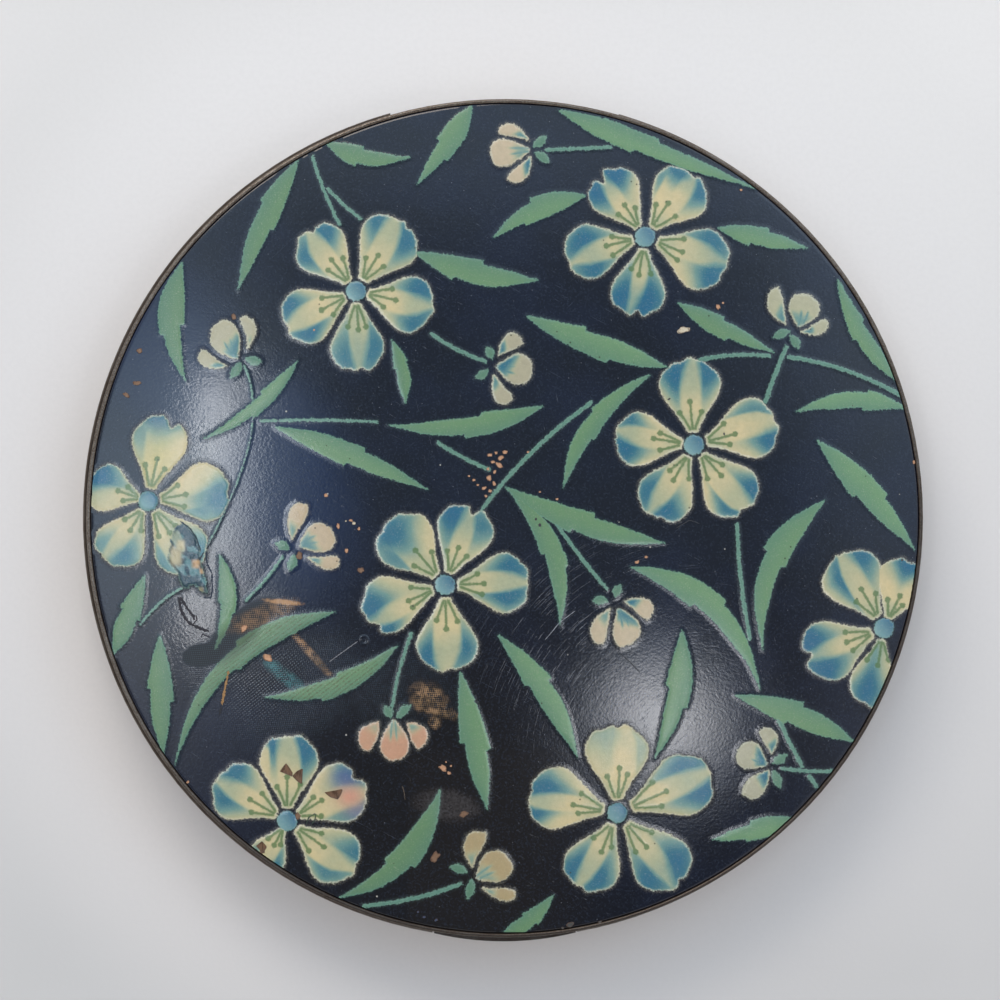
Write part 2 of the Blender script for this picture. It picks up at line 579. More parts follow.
def chip_material():
    """Where the lacquer is gone: bare copper brass or pale primer, darker at its lip. rim is 1 at the mark's edge."""
    t = new_material("bare_metal")
    p = t.pos()
    spots = t.step(t.noise(p, 0.2, 3.0, 0.7), 0.35, 0.65)
    paint = t.attr("paint", "Color")
    col = t.mix(spots, paint, t.mix(1.0, paint, (1.22, 1.28, 1.34), "MULTIPLY"))
    col = t.over(col, (70, 42, 28), t.step(t.attr("rim"), 0.62, 1.0), t.step(spots, 0.0, 1.0, 0.9, 0.35))
    normal = t.bump(t.noise(p, 0.15, 2.0), 0.012)
    return t.shader(color=col, metal=0.12, rough=t.step(spots, 0.0, 1.0, 0.5, 0.34), normal=normal)


def varnish_material():
    """Loose shards of the old varnish: amber brown, glassy, streaked along the break."""
    t = new_material("varnish_shard")
    streaks = t.noise(t.scaled(t.pos(), 1.0, 0.3, 1.0), 0.3, 3.0, 0.6)
    col = t.mix(t.step(streaks, 0.3, 0.7), lin(72, 52, 38), lin(112, 82, 58))
    col = t.over(col, (46, 32, 24), t.step(t.attr("rim"), 0.8, 1.0), 0.5)
    return t.shader(color=col, rough=t.step(streaks, 0.3, 0.7, 0.22, 0.4), normal=t.bump(streaks, 0.01))


PAINT, LACQUER, CHIP, SHARD = paint_material(), panel_material(), chip_material(), varnish_material()
STEEL, VELOUR = steel_material(), velour_material()
SATIN = satin_material("puff_satin", (236, 196, 180), (206, 152, 138))
RIBBON = satin_material("ribbon_satin", (206, 138, 122), (168, 96, 86))

for names, metal in (
    (("base_shell", "lid_shell", "catch_button"), bronze_material()),
    (("powder_tray", "door_plate", "mirror_ring", "sifter_ring"),
     brass_material("gilt_brass", (214, 178, 112), (232, 204, 148))),
    (("base_hinge_leaf", "lid_hinge_leaf", "tray_hinge_leaf", "door_hinge_leaf", "catch_guide", "latch_plate",
      "lid_tongue"), brass_material("gilt_brass_small", (206, 168, 104), (226, 196, 140), 0.0015, 0.3)),
    (("hinge_pin", "door_hinge_pin", "door_spring"), STEEL),
    (("sifter_screen",), screen_material()),
    (("mirror",), mirror_material()),
    (("mirror_backing",), card_material()),
):
    for name in names:
        slots = nodes[name].data.materials
        slots.clear()
        slots.append(metal)


# ---- the catch's bow spring ----------------------------------------------
def bow_spring():
    """A bowed strip: its ends stay on the guide and its crown goes in with the latch."""
    lo, hi = (c / MM for c in map(np.asarray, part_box("catch_spring")))
    strip, edge = 0.2, 0.04
    rise = hi[1] - lo[1]
    outer = (hi[0] ** 2 + rise ** 2) / (2 * rise)
    radius, middle = outer - strip / 2, lo[1] + outer
    reach = math.acos((middle - hi[1]) / radius)
    w, h = strip / 2, (hi[2] - lo[2]) / 2
    section = [(-w, edge - h), (edge - w, -h), (w - edge, -h), (w, edge - h),
               (w, h - edge), (w - edge, h), (edge - w, h), (-w, h - edge)]
    n, turn = len(section), np.linspace(-reach, reach, 97)
    v = [(math.sin(a) * (radius + d), middle - math.cos(a) * (radius + d), lo[2] + h + k)
         for a in turn for d, k in section]
    last = n * (len(turn) - 1)
    f = [(i + j, i + n + j, i + n + (j + 1) % n, i + (j + 1) % n) for i in range(0, last, n) for j in range(n)]
    for q in ((0, 1, 2, 3), (0, 3, 4, 7), (4, 5, 6, 7)):
        f += [q, tuple(last + k for k in q[::-1])]
    o = mesh_object("catch_bow_spring", v, f, STEEL)
    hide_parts("catch_spring")
    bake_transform(o)


bow_spring()


# ---- the lacquered panel -------------------------------------------------
def lid_panel():
    r = np.concatenate([np.linspace(0.25, 41.4, 92), [41.7, 41.9, 42.02, 42.1, 42.14, 42.17]])
    z = dome_z(r, 0)
    z[-4:] -= (0.01, 0.04, 0.1, 0.2)
    seg = 320
    a = around(seg)
    v = np.stack([r[:, None] * np.cos(a), r[:, None] * np.sin(a), np.repeat(z[:, None], seg, 1)], -1).reshape(-1, 3)
    v = np.vstack([v, [[0, 0, dome_z(0, 0)]]])
    f = np.vstack([ring_faces(len(r), seg), fan(len(v) - 1, 0, seg)])
    o = mesh_object("lacquered_panel", v, f, LACQUER)
    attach(o, "lid")
    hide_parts("lid_panel")


lid_panel()


# ---- the painted relief --------------------------------------------------
def sd_poly(pts, poly):
    """Distance of pts inside a closed polygon, negative outside."""
    a = poly
    b = np.roll(poly, -1, 0)
    e = b - a
    ee = np.maximum((e * e).sum(1), 1e-12)
    out = np.empty(len(pts))
    for s in range(0, len(pts), 4000):
        p = pts[s:s + 4000]
        w = p[:, None, :] - a[None]
        h = np.clip((w * e).sum(2) / ee, 0, 1)
        d = w - e * h[..., None]
        dist = np.sqrt((d * d).sum(2).min(1))
        crossing = ((a[:, 1] > p[:, 1, None]) != (b[:, 1] > p[:, 1, None])) & (
            p[:, 0, None] < e[:, 0] * (p[:, 1, None] - a[:, 1]) / np.where(e[:, 1] == 0, 1e-12, e[:, 1]) + a[:, 0])
        out[s:s + 4000] = np.where(crossing.sum(1) % 2 == 1, dist, -dist)
    return out


def spaced(p, n):
    """n points evenly spread along the closed line through the points p."""
    p = np.vstack([p, p[:1]])
    seg = np.r_[0, np.cumsum(np.hypot(*np.diff(p, axis=0).T))]
    at = np.linspace(0, seg[-1], n, endpoint=False)
    return np.stack([np.interp(at, seg, p[:, 0]), np.interp(at, seg, p[:, 1])], 1)


def smooth_closed(pts, n):
    """A closed Catmull-Rom line through pts, n points in all, evenly spread."""
    p = np.asarray(pts, float)
    t = np.linspace(0, 1, 12, endpoint=False)[:, None]
    rows = []
    for i in range(len(p)):
        a, b, c, d = p[i - 1], p[i], p[(i + 1) % len(p)], p[(i + 2) % len(p)]
        rows.append(0.5 * (2 * b + (c - a) * t + (2 * a - 5 * b + 4 * c - d) * t ** 2
                           + (3 * b - a - 3 * c + d) * t ** 3))
    return spaced(np.vstack(rows), n)


def across(q):
    """The unit vectors to the left of an open line, one for each of its points."""
    d = np.gradient(q, axis=0)
    d /= np.maximum(np.hypot(*d.T), 1e-9)[:, None]
    return np.stack([d[:, 1], -d[:, 0]], 1)


def axis(x0, y0, x1, y1):
    """The direction, the length and the left side of the way from one photo pixel to another."""
    d = np.array((x1 - x0, y1 - y0), float)
    n = np.hypot(*d)
    d /= n
    return d, n, np.array((d[1], -d[0]))


def spine(x0, y0, x1, y1, bow, count):
    """The bowed middle line of a leaf or a lobe: places t from 0 to 1, points, and the left side."""
    d, n, side = axis(x0, y0, x1, y1)
    t = np.linspace(0, 1, count)
    return t, np.array((x0, y0)) + np.outer(t * n, d) + np.outer(bow * 4 * t * (1 - t), side), side


def local(p, x0, y0, x1, y1, bow, width, limits):
    """Where the points p lie in a leaf or a lobe: t from 0 to 1 along it, v from -1 to 1 over its width."""
    d, n, side = axis(x0, y0, x1, y1)
    q = p - np.array((x0, y0))
    t = np.clip((q @ d) / n, *limits)
    return t, (q @ side - bow * 4 * t * (1 - t)) / (0.5 * width)


def ragged_line(q, amount, seed):
    """Pushes a closed outline in and out a little, as a stencil edge."""
    rng = np.random.default_rng(seed)
    n = len(q)
    w = rng.normal(0, 1, n)
    w = w + 0.6 * np.roll(w, 1)
    low = np.interp(np.arange(n), np.linspace(0, n, 25), np.r_[(r := rng.normal(0, 1, 24)), r[0]])
    d = np.roll(q, -1, 0) - np.roll(q, 1, 0)
    d /= np.maximum(np.hypot(*d.T), 1e-9)[:, None]
    return q + np.stack([d[:, 1], -d[:, 0]], 1) * ((w * 0.45 + low * 0.5) * amount)[:, None]


def clouds(p, size, seed, octaves=3):
    """Smooth random values about 0.5 at photo pixels p, with features of that size."""
    out, total = np.zeros(len(p)), 0.0
    for o in range(octaves):
        rng = np.random.default_rng(seed + 31 * o)
        g = rng.uniform(0, 1, (64, 64))
        q = p / size * 2 ** o
        i = np.floor(q).astype(int)
        f = q - i
        f = f * f * (3 - 2 * f)
        a, b = g[i[:, 1] % 64, i[:, 0] % 64], g[i[:, 1] % 64, (i[:, 0] + 1) % 64]
        c, d = g[(i[:, 1] + 1) % 64, i[:, 0] % 64], g[(i[:, 1] + 1) % 64, (i[:, 0] + 1) % 64]
        w = 0.5 ** o
        out += w * ((a * (1 - f[:, 0]) + b * f[:, 0]) * (1 - f[:, 1]) + (c * (1 - f[:, 0]) + d * f[:, 0]) * f[:, 1])
        total += w
    return out / total


def ease(v):
    v = np.clip(v, 0, 1)
    return v * v * (3 - 2 * v)


def tinted(c, tone, w):
    """The colours c with a tone of 0 to 255 laid over them by the weights w."""
    w = w[:, None]
    return c * (1 - w) + w * np.array(lin(*tone))


# A motif's grid step and the reach of its slope, in photo pixels, then the height in mm at the slope's foot
BLOSSOM_GRID, LEAF_GRID = (1.15, 4.5, 0.007), (1.3, 3.6, 0.010)
STEM_GRID, BUD_GRID = (1.2, 2.8, 0.013), (1.05, 4.5, 0.016)


class Patch:
    """A fine grid over a motif, in photo pixels. It keeps the best shape at each point, then becomes a mesh that
    lies on the lacquer: raised inside the shapes, with a soft slope down to the ground round them."""

    def __init__(self, x0, y0, x1, y1, step):
        self.nx, self.ny = int((x1 - x0) / step) + 2, int((y1 - y0) / step) + 2
        xs, ys = x0 + np.arange(self.nx) * step, y0 + np.arange(self.ny) * step
        self.x, self.y = (g.ravel() for g in np.meshgrid(xs, ys))
        n = len(self.x)
        self.sd, self.st = np.full(n, -99.0), np.full(n, -9.0)
        self.paint = np.tile(np.array(CREAM), (n, 1))
        self.rim, self.high, self.more = np.zeros(n), np.zeros(n), np.zeros(n)

    def near(self, poly, margin):
        lo, hi = poly.min(0) - margin, poly.max(0) + margin
        return np.nonzero((self.x >= lo[0]) & (self.x <= hi[0]) & (self.y >= lo[1]) & (self.y <= hi[1]))[0]

    def shape(self, poly, paint, rim, high, margin=10.0, stamen=None, crumple=None):
        """paint, stamen and crumple are called with the points near the shape, paint also with how deep inside."""
        k = self.near(poly, margin)
        if not len(k):
            return
        p = np.stack([self.x[k], self.y[k]], 1)
        s = sd_poly(p, poly)
        better = s > self.sd[k]
        k, p, s = k[better], p[better], s[better]
        self.sd[k] = s
        self.paint[k] = paint(p, s) if callable(paint) else paint
        self.rim[k], self.high[k] = rim, high
        self.st[k] = stamen(p) if stamen else -9.0
        self.more[k] = crumple(p) * ease(s / 4) if crumple else 0.0

    def build(self, name, apron, base):
        """apron is how far the slope reaches out in photo pixels, base how high it stands at the shape's edge."""
        c = np.arange((self.ny - 1) * self.nx).reshape(self.ny - 1, self.nx)[:, :-1].ravel()
        quad = np.stack([c, c + self.nx, c + self.nx + 1, c + 1], 1)
        xy = on_lid(np.stack([self.x, self.y], 1))
        r = np.hypot(*xy.T)
        keep = (self.sd[quad].max(1) > -apron) & (r[quad].min(1) < PANEL_R - 0.15)
        quad = quad[keep]
        used, quad = np.unique(quad, return_inverse=True)
        quad = quad.reshape(-1, 4)
        xy, r = xy[used], r[used]
        over = np.maximum(r / (PANEL_R - 0.1), 1.0)
        xy = xy / over[:, None]
        sd, st = self.sd[used], self.st[used]
        steep, wide = ease((sd + 0.5) / 2.8), ease((sd + apron) / (apron + 3.0))
        swell = np.clip(sd / 14.0, 0, 1)
        rise = self.high[used] * (0.88 * steep + 0.12 * wide) * (0.80 + 0.20 * swell * (2 - swell))
        rise += 0.010 * np.clip(st + 1.0, 0, 1) + self.more[used]
        edge = np.clip((PANEL_R - 0.12 - np.hypot(*xy.T)) / 0.5, 0, 1)
        z = dome_z(*xy.T) + base * ease((sd + apron) / apron) + rise * (0.35 + 0.65 * edge)
        obj = mesh_object(name, np.column_stack([xy, z]), quad, PAINT,
                          attrs={"sd": sd, "stamen": st, "rimmed": self.rim[used]}, colours={"paint": self.paint[used]})
        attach(obj, "lid")


def ramp(b):
    """Cream through green-blue to deep blue, for b from 0 to 1.3."""
    x = (0.0, 0.22, 0.55, 0.95, 1.3)
    rows = np.array((CREAM, PALE, TEAL, BLUE, DEEP))
    return np.stack([np.interp(b, x, rows[:, i]) for i in range(3)], 1)


PETAL_SIDE = ((0.150, 0.056), (0.20, 0.084), (0.27, 0.122), (0.36, 0.178), (0.46, 0.248), (0.55, 0.308), (0.64, 0.350),
              (0.72, 0.360), (0.80, 0.340), (0.87, 0.296), (0.93, 0.226), (0.975, 0.132))


def petal_line(length, wl, wr, notches, seed):
    """A petal's outline in its own (u, v): out along the axis and across it, both in photo pixels."""
    left = [(u, w * wl) for u, w in PETAL_SIDE]
    right = [(u, -w * wr) for u, w in PETAL_SIDE][::-1]
    q = smooth_closed(left + [(1.0, 0.0)] + right, 190)
    for v0, depth, width in notches:
        q[:, 0] -= depth * np.exp(-((q[:, 1] - v0) / width) ** 2) * np.clip((q[:, 0] - 0.55) / 0.2, 0, 1)
    # slow waves along the tip
    rng = np.random.default_rng(seed)
    a, b = rng.uniform(0, 6.28, 2)
    tip = np.clip((q[:, 0] - 0.5) / 0.3, 0, 1)
    q[:, 0] += tip * (0.014 * np.sin(q[:, 1] * 17 + a) + 0.008 * np.sin(q[:, 1] * 33 + b))
    return ragged_line(q * length, 0.45, seed + 5)


def spots_paint(u, v, spots):
    """Airbrushed colour: each spot is firmer towards the petal's middle fold, fades softly outwards, and runs out in
    a thin tail towards the petal's root."""
    b = np.zeros(len(u))
    for su, sv, lu, lv, k in spots:
        out = np.sign(sv) if abs(sv) > 0.08 else 0.0
        du = u - su - 0.035
        tail = np.clip(-du / lu, 0, None)
        w = (v - sv * (1 - 0.10 * tail - 0.30 * np.clip(du / lu - 0.2, 0, 1.4))) * (out or 1.0)
        width = lv / (1 + 0.70 * tail)
        side = np.where(w < 0, (np.abs(w) / (width * (0.95 if out else 1.3))) ** (2.5 if out else 2.0),
                        (np.abs(w) / (width * (2.1 if out else 1.3))) ** 1.6)
        along = np.where(du > 0, np.abs(du / (lu * 2.0)) ** 2, np.abs(du / (lu * 1.7)) ** 1.6)
        b = np.maximum(b, 0.88 * k * np.exp(-0.75 * (along + side)))
        b = b + 0.22 * k * np.exp(-(du / (lu * np.where(du > 0, 3.0, 1.6))) ** 2 - ((v - sv) / (lv * 2.9)) ** 2)
        if out:
            b = b + 0.16 * k * np.exp(-((w + 0.62 * width) / 0.016) ** 2 - (du / (lu * 1.5)) ** 2)
    return np.clip(b, 0, 1.25)


def stamen_field(u, v, length, seed):
    """Distance inside the three thin stalks and their heads, in photo pixels."""
    rng = np.random.default_rng(seed)
    out = np.full(len(u), -9.0)
    p = np.stack([u, v], 1) * length
    ends = [(0.40 + rng.uniform(-0.02, 0.05), 0.125 + rng.uniform(-0.02, 0.02)),
            (0.50 + rng.uniform(-0.04, 0.04), rng.uniform(-0.03, 0.03)),
            (0.40 + rng.uniform(-0.03, 0.04), -0.125 + rng.uniform(-0.02, 0.02))]
    for eu, ev in ends:
        root, bend, head = (np.array(q) * length for q in ((0.185, ev * 0.22), (0.30, ev * 0.62), (eu, ev)))
        for first, last in ((root, bend), (bend, head)):
            w, g = p - first, last - first
            h = np.clip((w @ g) / (g @ g), 0, 1)
            out = np.maximum(out, 1.35 - np.hypot(*(w - np.outer(h, g)).T))
        out = np.maximum(out, 3.0 - np.hypot(*(p - head).T))
    return out


# A blossom: its middle in photo pixels, then each petal's angle and length, and in hundredths of its length its left
# and right width, notches (across, depth, width) and colour spots (out, across, size out, size across, strength)
BLOSSOMS = (
    ((356, 291), (
        (57, 84, 100, 105, ((-10, 5, 4),), ((80, 22, 15, 9, 85), (78, -22, 16, 10, 95))),
        (-14, 79, 100, 100, (), ((72, 23, 15, 12, 95), (76, -25, 13, 12, 95))),
        (-88, 81, 90, 95, ((3, 5, 5),), ((62, 22, 20, 10, 80), (74, -18, 20, 10, 80), (70, 0, 25, 20, 30))),
        (207, 79, 100, 100, (), ((78, -24, 13, 10, 95), (72, 20, 15, 7, 105))),
        (129, 78, 100, 95, ((-5, 6, 4),), ((78, -17, 12, 9, 95), (70, 25, 14, 8, 90))))),
    ((645, 237), (
        (52, 80, 100, 105, ((-3, 3, 5),), ((86, 15, 8, 14, 85), (82, -24, 12, 10, 95), (70, 30, 14, 6, 60))),
        (-20, 87, 95, 105, (), ((66, 26, 16, 10, 90), (83, -18, 12, 15, 100))),
        (-97, 80, 95, 95, ((2, 9, 5),), ((74, 17, 20, 11, 115), (74, -18, 20, 11, 110))),
        (195, 82, 90, 95, (), ((68, -20, 16, 10, 105), (66, 22, 14, 9, 100))),
        (124, 78, 95, 95, ((5, 13, 5),), ((85, -14, 13, 12, 120), (78, 22, 14, 12, 115))))),
    ((694, 445), (
        (94, 86, 100, 100, (), ((78, 20, 16, 9, 105), (78, -20, 16, 10, 100))),
        (17, 86, 95, 100, ((-2, 3, 5),), ((82, -18, 13, 11, 105), (74, 24, 18, 5, 70))),
        (-51, 84, 95, 95, ((-6, 5, 5),), ((80, 20, 14, 11, 100), (80, -22, 14, 5, 90))),
        (-118, 83, 90, 100, ((6, 4, 4),), ((68, -24, 16, 8, 90), (82, 14, 13, 11, 105))),
        (174, 80, 95, 95, ((0, 4, 5),), ((80, 18, 13, 11, 105), (78, -22, 11, 9, 85))))),
    ((445, 585), (
        (70, 84, 95, 95, ((-2, 11, 5),), ((78, 20, 18, 12, 110), (76, -20, 13, 12, 85))),
        (2, 84, 100, 100, (), ((74, 22, 14, 9, 100), (68, -17, 16, 7, 100))),
        (-88, 86, 100, 100, (), ((78, -23, 17, 8, 100), (70, 24, 16, 8, 85))),
        (201, 86, 85, 100, ((16, 6, 5),), ((84, -12, 13, 13, 105), (76, 25, 10, 9, 100))),
        (132, 85, 100, 100, (), ((82, 2, 16, 22, 90), (60, 24, 22, 8, 70))))),
    ((148, 501), (
        (79, 86, 90, 90, ((-10, 7, 5),), ((92, 2, 10, 25, 100), (72, 22, 14, 8, 60))),
        (9, 82, 100, 100, (), ((82, -10, 16, 20, 80), (62, -24, 16, 8, 70))),
        (-56, 82, 100, 90, (), ((78, 10, 16, 20, 90), (70, -26, 20, 8, 70))),
        (-122, 74, 95, 100, ((12, 4, 5),), ((76, 15, 16, 12, 80), (80, -22, 14, 10, 60))),
        (163, 62, 105, 110, (), ((84, -18, 22, 20, 120),)))),
    ((287, 821), (
        (88, 86, 95, 95, (), ((84, 22, 13, 10, 100), (78, -22, 16, 9, 105))),
        (27, 86, 100, 95, ((10, 6, 5),), ((86, 18, 12, 12, 90), (72, -26, 20, 10, 80))),
        (-37, 84, 95, 95, (), ((84, 16, 15, 12, 85), (70, -24, 16, 6, 75))),
        (-120, 58, 95, 90, (), ((72, 22, 20, 8, 80), (80, -25, 14, 10, 70))),
        (148, 82, 105, 95, (), ((80, -20, 12, 13, 95), (74, 20, 15, 8, 90))))),
    ((617, 813), (
        (90, 88, 100, 100, ((-2, 3, 5),), ((84, 14, 16, 16, 36), (72, -28, 20, 6, 30))),
        (23, 102, 86, 84, (), ((72, 19, 18, 7, 90), (80, -16, 16, 8, 105))),
        (-48, 95, 88, 90, ((2, 3, 4),), ((74, 18, 14, 12, 105), (68, -20, 16, 9, 95))),
        (-115, 84, 95, 95, ((0, 2, 4),), ((74, -19, 18, 8, 100), (76, 17, 18, 9, 100))),
        (166, 90, 98, 95, (), ((80, -13, 15, 8, 105), (84, 19, 11, 7, 100))))),
    ((884, 628), (
        (122, 86, 100, 100, ((-2, 3, 4),), ((82, -22, 16, 12, 105), (70, 16, 20, 5, 95))),
        (66, 72, 110, 100, (), ((88, 5, 12, 16, 120),)),
        (202, 86, 100, 98, ((-2, 10, 6),), ((80, -19, 14, 11, 110), (76, 19, 15, 13, 115))),
        (-100, 80, 72, 85, (), ((74, -6, 22, 13, 115),)))),
)


# Scraps of other colours on the crazed patch: middle and half lengths in photo pixels, tone
SCRAPS = (
    (176, 556, 6, 10, (176, 166, 132)), (196, 564, 4.2, 4.2, (206, 166, 118)), (181, 545, 4, 5, (184, 176, 142)),
    (202, 571, 2.4, 2.8, (196, 160, 120)), (201, 590, 2.6, 3.0, (176, 156, 110)),
)


def broken(p, _):
    """The crazed patch of a petal where the film has come up: torn streaks of teal and cream with an orange scrap."""
    k = math.radians(52)
    x, y = p.T
    q = np.stack([(x * math.cos(k) + y * math.sin(k)) / 2.2, y * math.cos(k) - x * math.sin(k)], 1)
    a, b, c = clouds(q, 4.5, 71, 2), clouds(q, 6.5, 73, 2), clouds(p, 11.0, 79, 2)
    out = np.array(lin(30, 58, 72))[None] * (0.7 + 0.8 * a[:, None])
    for value, tone in ((a + 0.5 * c - 0.86, (88, 130, 136)), (b - 0.62, (150, 162, 140))):
        out = tinted(out, tone, ease(value / 0.14) * 0.85)
    torn = 0.55 + 0.45 * ease((b - 0.35) / 0.2)
    for cx, cy, rx, ry, tone in SCRAPS:
        out = tinted(out, tone, np.exp(-((x - cx) / rx) ** 4 - ((y - cy) / ry) ** 4) * torn)
    return out


BROKEN = ((171, 538), (176, 527), (184, 524), (192, 531), (198, 543), (201, 556), (203, 569), (206, 582), (207, 593),
          (201, 591), (195, 584), (186, 588), (180, 581), (177, 572), (170, 565), (168, 552))


# Stains by blossom and petal: tone, share, and where they lie and how far they reach along and across the petal
STAINS = {
    (6, 1): (((204, 142, 122), 0.85, 0.78, -0.05, 0.17, 0.15), ((86, 100, 142), 0.8, 0.82, 0.20, 0.15, 0.12),
             ((128, 124, 150), 0.6, 0.80, -0.28, 0.14, 0.10)),
    (5, 0): (((178, 172, 104), 0.5, 0.55, 0.0, 0.3, 0.22),),
}
HEART_R = 9.9


def blossom(index, centre, petals):
    centre = np.array(centre)
    reach = max(p[1] for p in petals) + 10
    g = Patch(*(centre - reach), *(centre + reach), BLOSSOM_GRID[0])
    for n, (deg, length, wl, wr, notches, spots) in enumerate(petals):
        a = math.radians(deg)
        ax = np.array((math.cos(a), -math.sin(a)))
        side = np.array((-math.sin(a), -math.cos(a)))
        seed = 1000 * index + 37 * n
        q = petal_line(length, wl / 100, wr / 100, np.array(notches) / 100, seed)
        lean = np.random.default_rng(seed + 9).uniform(-0.28, 0.28)

        def in_petal(p):
            return ((p - centre) @ ax) / length, ((p - centre) @ side) / length

        def paint(p, sd):
            u, v = in_petal(p)
            v = v + lean * (u - 0.45) ** 2
            b = spots_paint(u, v, np.array(spots) / 100) * (0.62 + 0.38 * ease((sd + 0.5) / 3.5))
            b = b + 0.16 * (clouds(p, 26, seed) - 0.45) + 0.15 * ease((0.46 - u) / 0.2)
            # the colour was sprayed in strokes that run out from the root
            spray = np.stack([v / np.maximum(u, 0.12) * 34 + 40, u * 8], 1)
            b = b * (1 + 0.14 * (clouds(spray, 3.0, seed + 1) - 0.5))
            if (index, n) == (6, 0):
                b = b * (1 - 0.9 * ease((v - 0.19) / 0.05) * ease((0.95 - u) / 0.15))
            warm = np.clip(1 - b * 3, 0, 1) * ease((clouds(p, 22, seed + 2) - 0.5) / 0.25)
            c = tinted(ramp(np.clip(b, 0, 1.25)), (208, 190, 142), 0.5 * warm)
            for tone, share, cu, cv, su, sv in STAINS.get((index, n), ()):
                c = tinted(c, tone, share * np.exp(-((u - cu) / su) ** 2 - ((v - cv) / sv) ** 2))
            return c

        g.shape(centre + q[:, :1] * ax + q[:, 1:] * side, paint, 1.0, PETAL_HIGH,
                stamen=lambda p: stamen_field(*in_petal(p), length, seed + 3))
    if index == 5:
        # the film has come up from this petal: a crumpled patch takes the place of its outer half
        line = ragged_line(smooth_closed(BROKEN, 120), 1.1, 8)
        k = np.nonzero(sd_poly(np.stack([g.x, g.y], 1), line) > 0)[0]
        g.sd[k] = -99.0
        g.shape(line, broken, 0.25, TORN_HIGH, crumple=lambda p: 0.055 * (clouds(p, 4.0, 91, 2) - 0.5))
    a = around(60)
    disc = centre + HEART_R * np.stack([np.cos(a), np.sin(a)], 1)

    def disc_paint(p, _):
        d = (p - centre) / HEART_R
        k = np.clip(0.5 - 0.45 * d[:, 0] + 0.35 * d[:, 1], 0, 1)[:, None]
        return np.array(lin(62, 108, 134)) * (1 - k) + np.array(lin(122, 160, 162)) * k

    g.shape(ragged_line(disc, 0.35, index), disc_paint, 0.15, HEART_HIGH, margin=6)
    g.build("blossom_%d" % index, *BLOSSOM_GRID[1:])


for i, (c, ps) in enumerate(BLOSSOMS):
    blossom(i + 1, c, ps)


# A leaf: from and to in photo pixels, how far it bows to its left, its fullest width, then in hundredths of its length
# where it is fullest and where the small steps of its left and right edge lie
LEAVES = (
    (472, 105, 417, 184, 2, 22, 36, 62, 50), (325, 142, 410, 157, -8, 19, 36, 46, 40),
    (298, 160, 238, 290, -5, 23, 44, 52, 36), (182, 262, 186, 382, -13, 25, 40, 52, 60),
    (558, 110, 755, 188, -1, 21, 32, 50, 40), (586, 195, 493, 238, -8, 22, 42, 66, 52),
    (718, 228, 808, 248, 0, 19, 42, 54, 36), (415, 252, 538, 280, -7, 25, 48, 54, 34),
    (392, 340, 405, 403, 4, 15, 54, 36, 46), (298, 360, 203, 439, 9, 14, 42, 58, 40),
    (526, 316, 670, 368, -3, 25, 54, 40, 60), (678, 303, 774, 352, -2, 19, 42, 44, 56),
    (838, 280, 900, 383, -8, 18, 54, 40, 50), (907, 408, 795, 412, -10, 19, 42, 40, 34),
    (275, 427, 428, 490, 3, 22, 46, 56, 48), (543, 406, 388, 425, 11, 21, 42, 52, 40),
    (650, 375, 563, 488, -16, 19, 56, 60, 44), (817, 440, 915, 550, 3, 26, 46, 60, 46),
    (505, 487, 665, 543, -9, 24, 54, 56, 46), (508, 490, 560, 625, 19, 21, 56, 64, 50),
    (825, 500, 763, 650, -25, 25, 38, 48, 42), (630, 567, 760, 690, 28, 25, 38, 52, 40),
    (145, 575, 113, 655, 0, 22, 60, 52, 46), (220, 555, 215, 650, 10, 17, 42, 60, 50),
    (160, 635, 163, 755, -1, 24, 50, 56, 44), (335, 612, 175, 765, -36, 22, 30, 50, 42),
    (398, 645, 265, 697, 15, 20, 52, 64, 48), (460, 672, 487, 810, 1, 26, 54, 58, 50),
    (498, 635, 578, 758, 8, 24, 50, 44, 40), (682, 630, 655, 758, 9, 24, 42, 58, 44),
    (735, 695, 855, 742, 4, 25, 56, 52, 44), (792, 818, 712, 840, 2, 19, 34, 60, 50),
    (440, 790, 338, 898, 21, 25, 44, 50, 60), (553, 895, 500, 935, 6, 17, 60, 46, 54),
)


def leaf_line(x0, y0, x1, y1, bow, width, full, up, lo, seed):
    """A long curved leaf that is a point at both ends and has a small step in each edge."""
    t, mid, side = spine(x0, y0, x1, y1, bow, 90)
    grow, fall = np.sin(0.5 * math.pi * t / full), np.cos(0.5 * math.pi * (t - full) / (1 - full))
    half = 0.5 * width * np.where(t < full, np.maximum(grow, 0) ** 0.95, np.maximum(fall, 0) ** 1.15) + 0.55

    def edge(step):
        # before the step the edge is full; after it the edge starts again further in
        return half * np.where(t < step, 1.0 + 0.10 * np.clip((t - step + 0.12) / 0.12, 0, 1),
                               0.74 + 0.22 * np.clip((t - step) / 0.3, 0, 1))

    left, right = mid + edge(up)[:, None] * side, mid - edge(lo)[:, None] * side
    return ragged_line(np.vstack([left, right[::-1]]), 0.32, seed)


def leaf_paint(k, *leaf):
    """Green along one side, shaded to blue-green along the other and towards the tips."""
    rng = np.random.default_rng(k)
    bright, turn = rng.uniform(0.93, 1.08), rng.choice((-1.0, 1.0))

    def paint(p, _):
        t, v = local(p, *leaf, (0, 1))
        dim = 0.75 * ease(0.35 + 0.6 * v * turn) + 0.5 * ease((np.abs(t - 0.5) - 0.22) / 0.28)
        dim = np.clip(dim + 0.25 * (clouds(p, 14, k) - 0.5), 0, 1)[:, None]
        return (np.array(LEAF) * bright * (1 - dim) + np.array(LEAF_DIM) * dim) * (0.90 + 0.22 * p[:, :1] / PHOTO)
    return paint


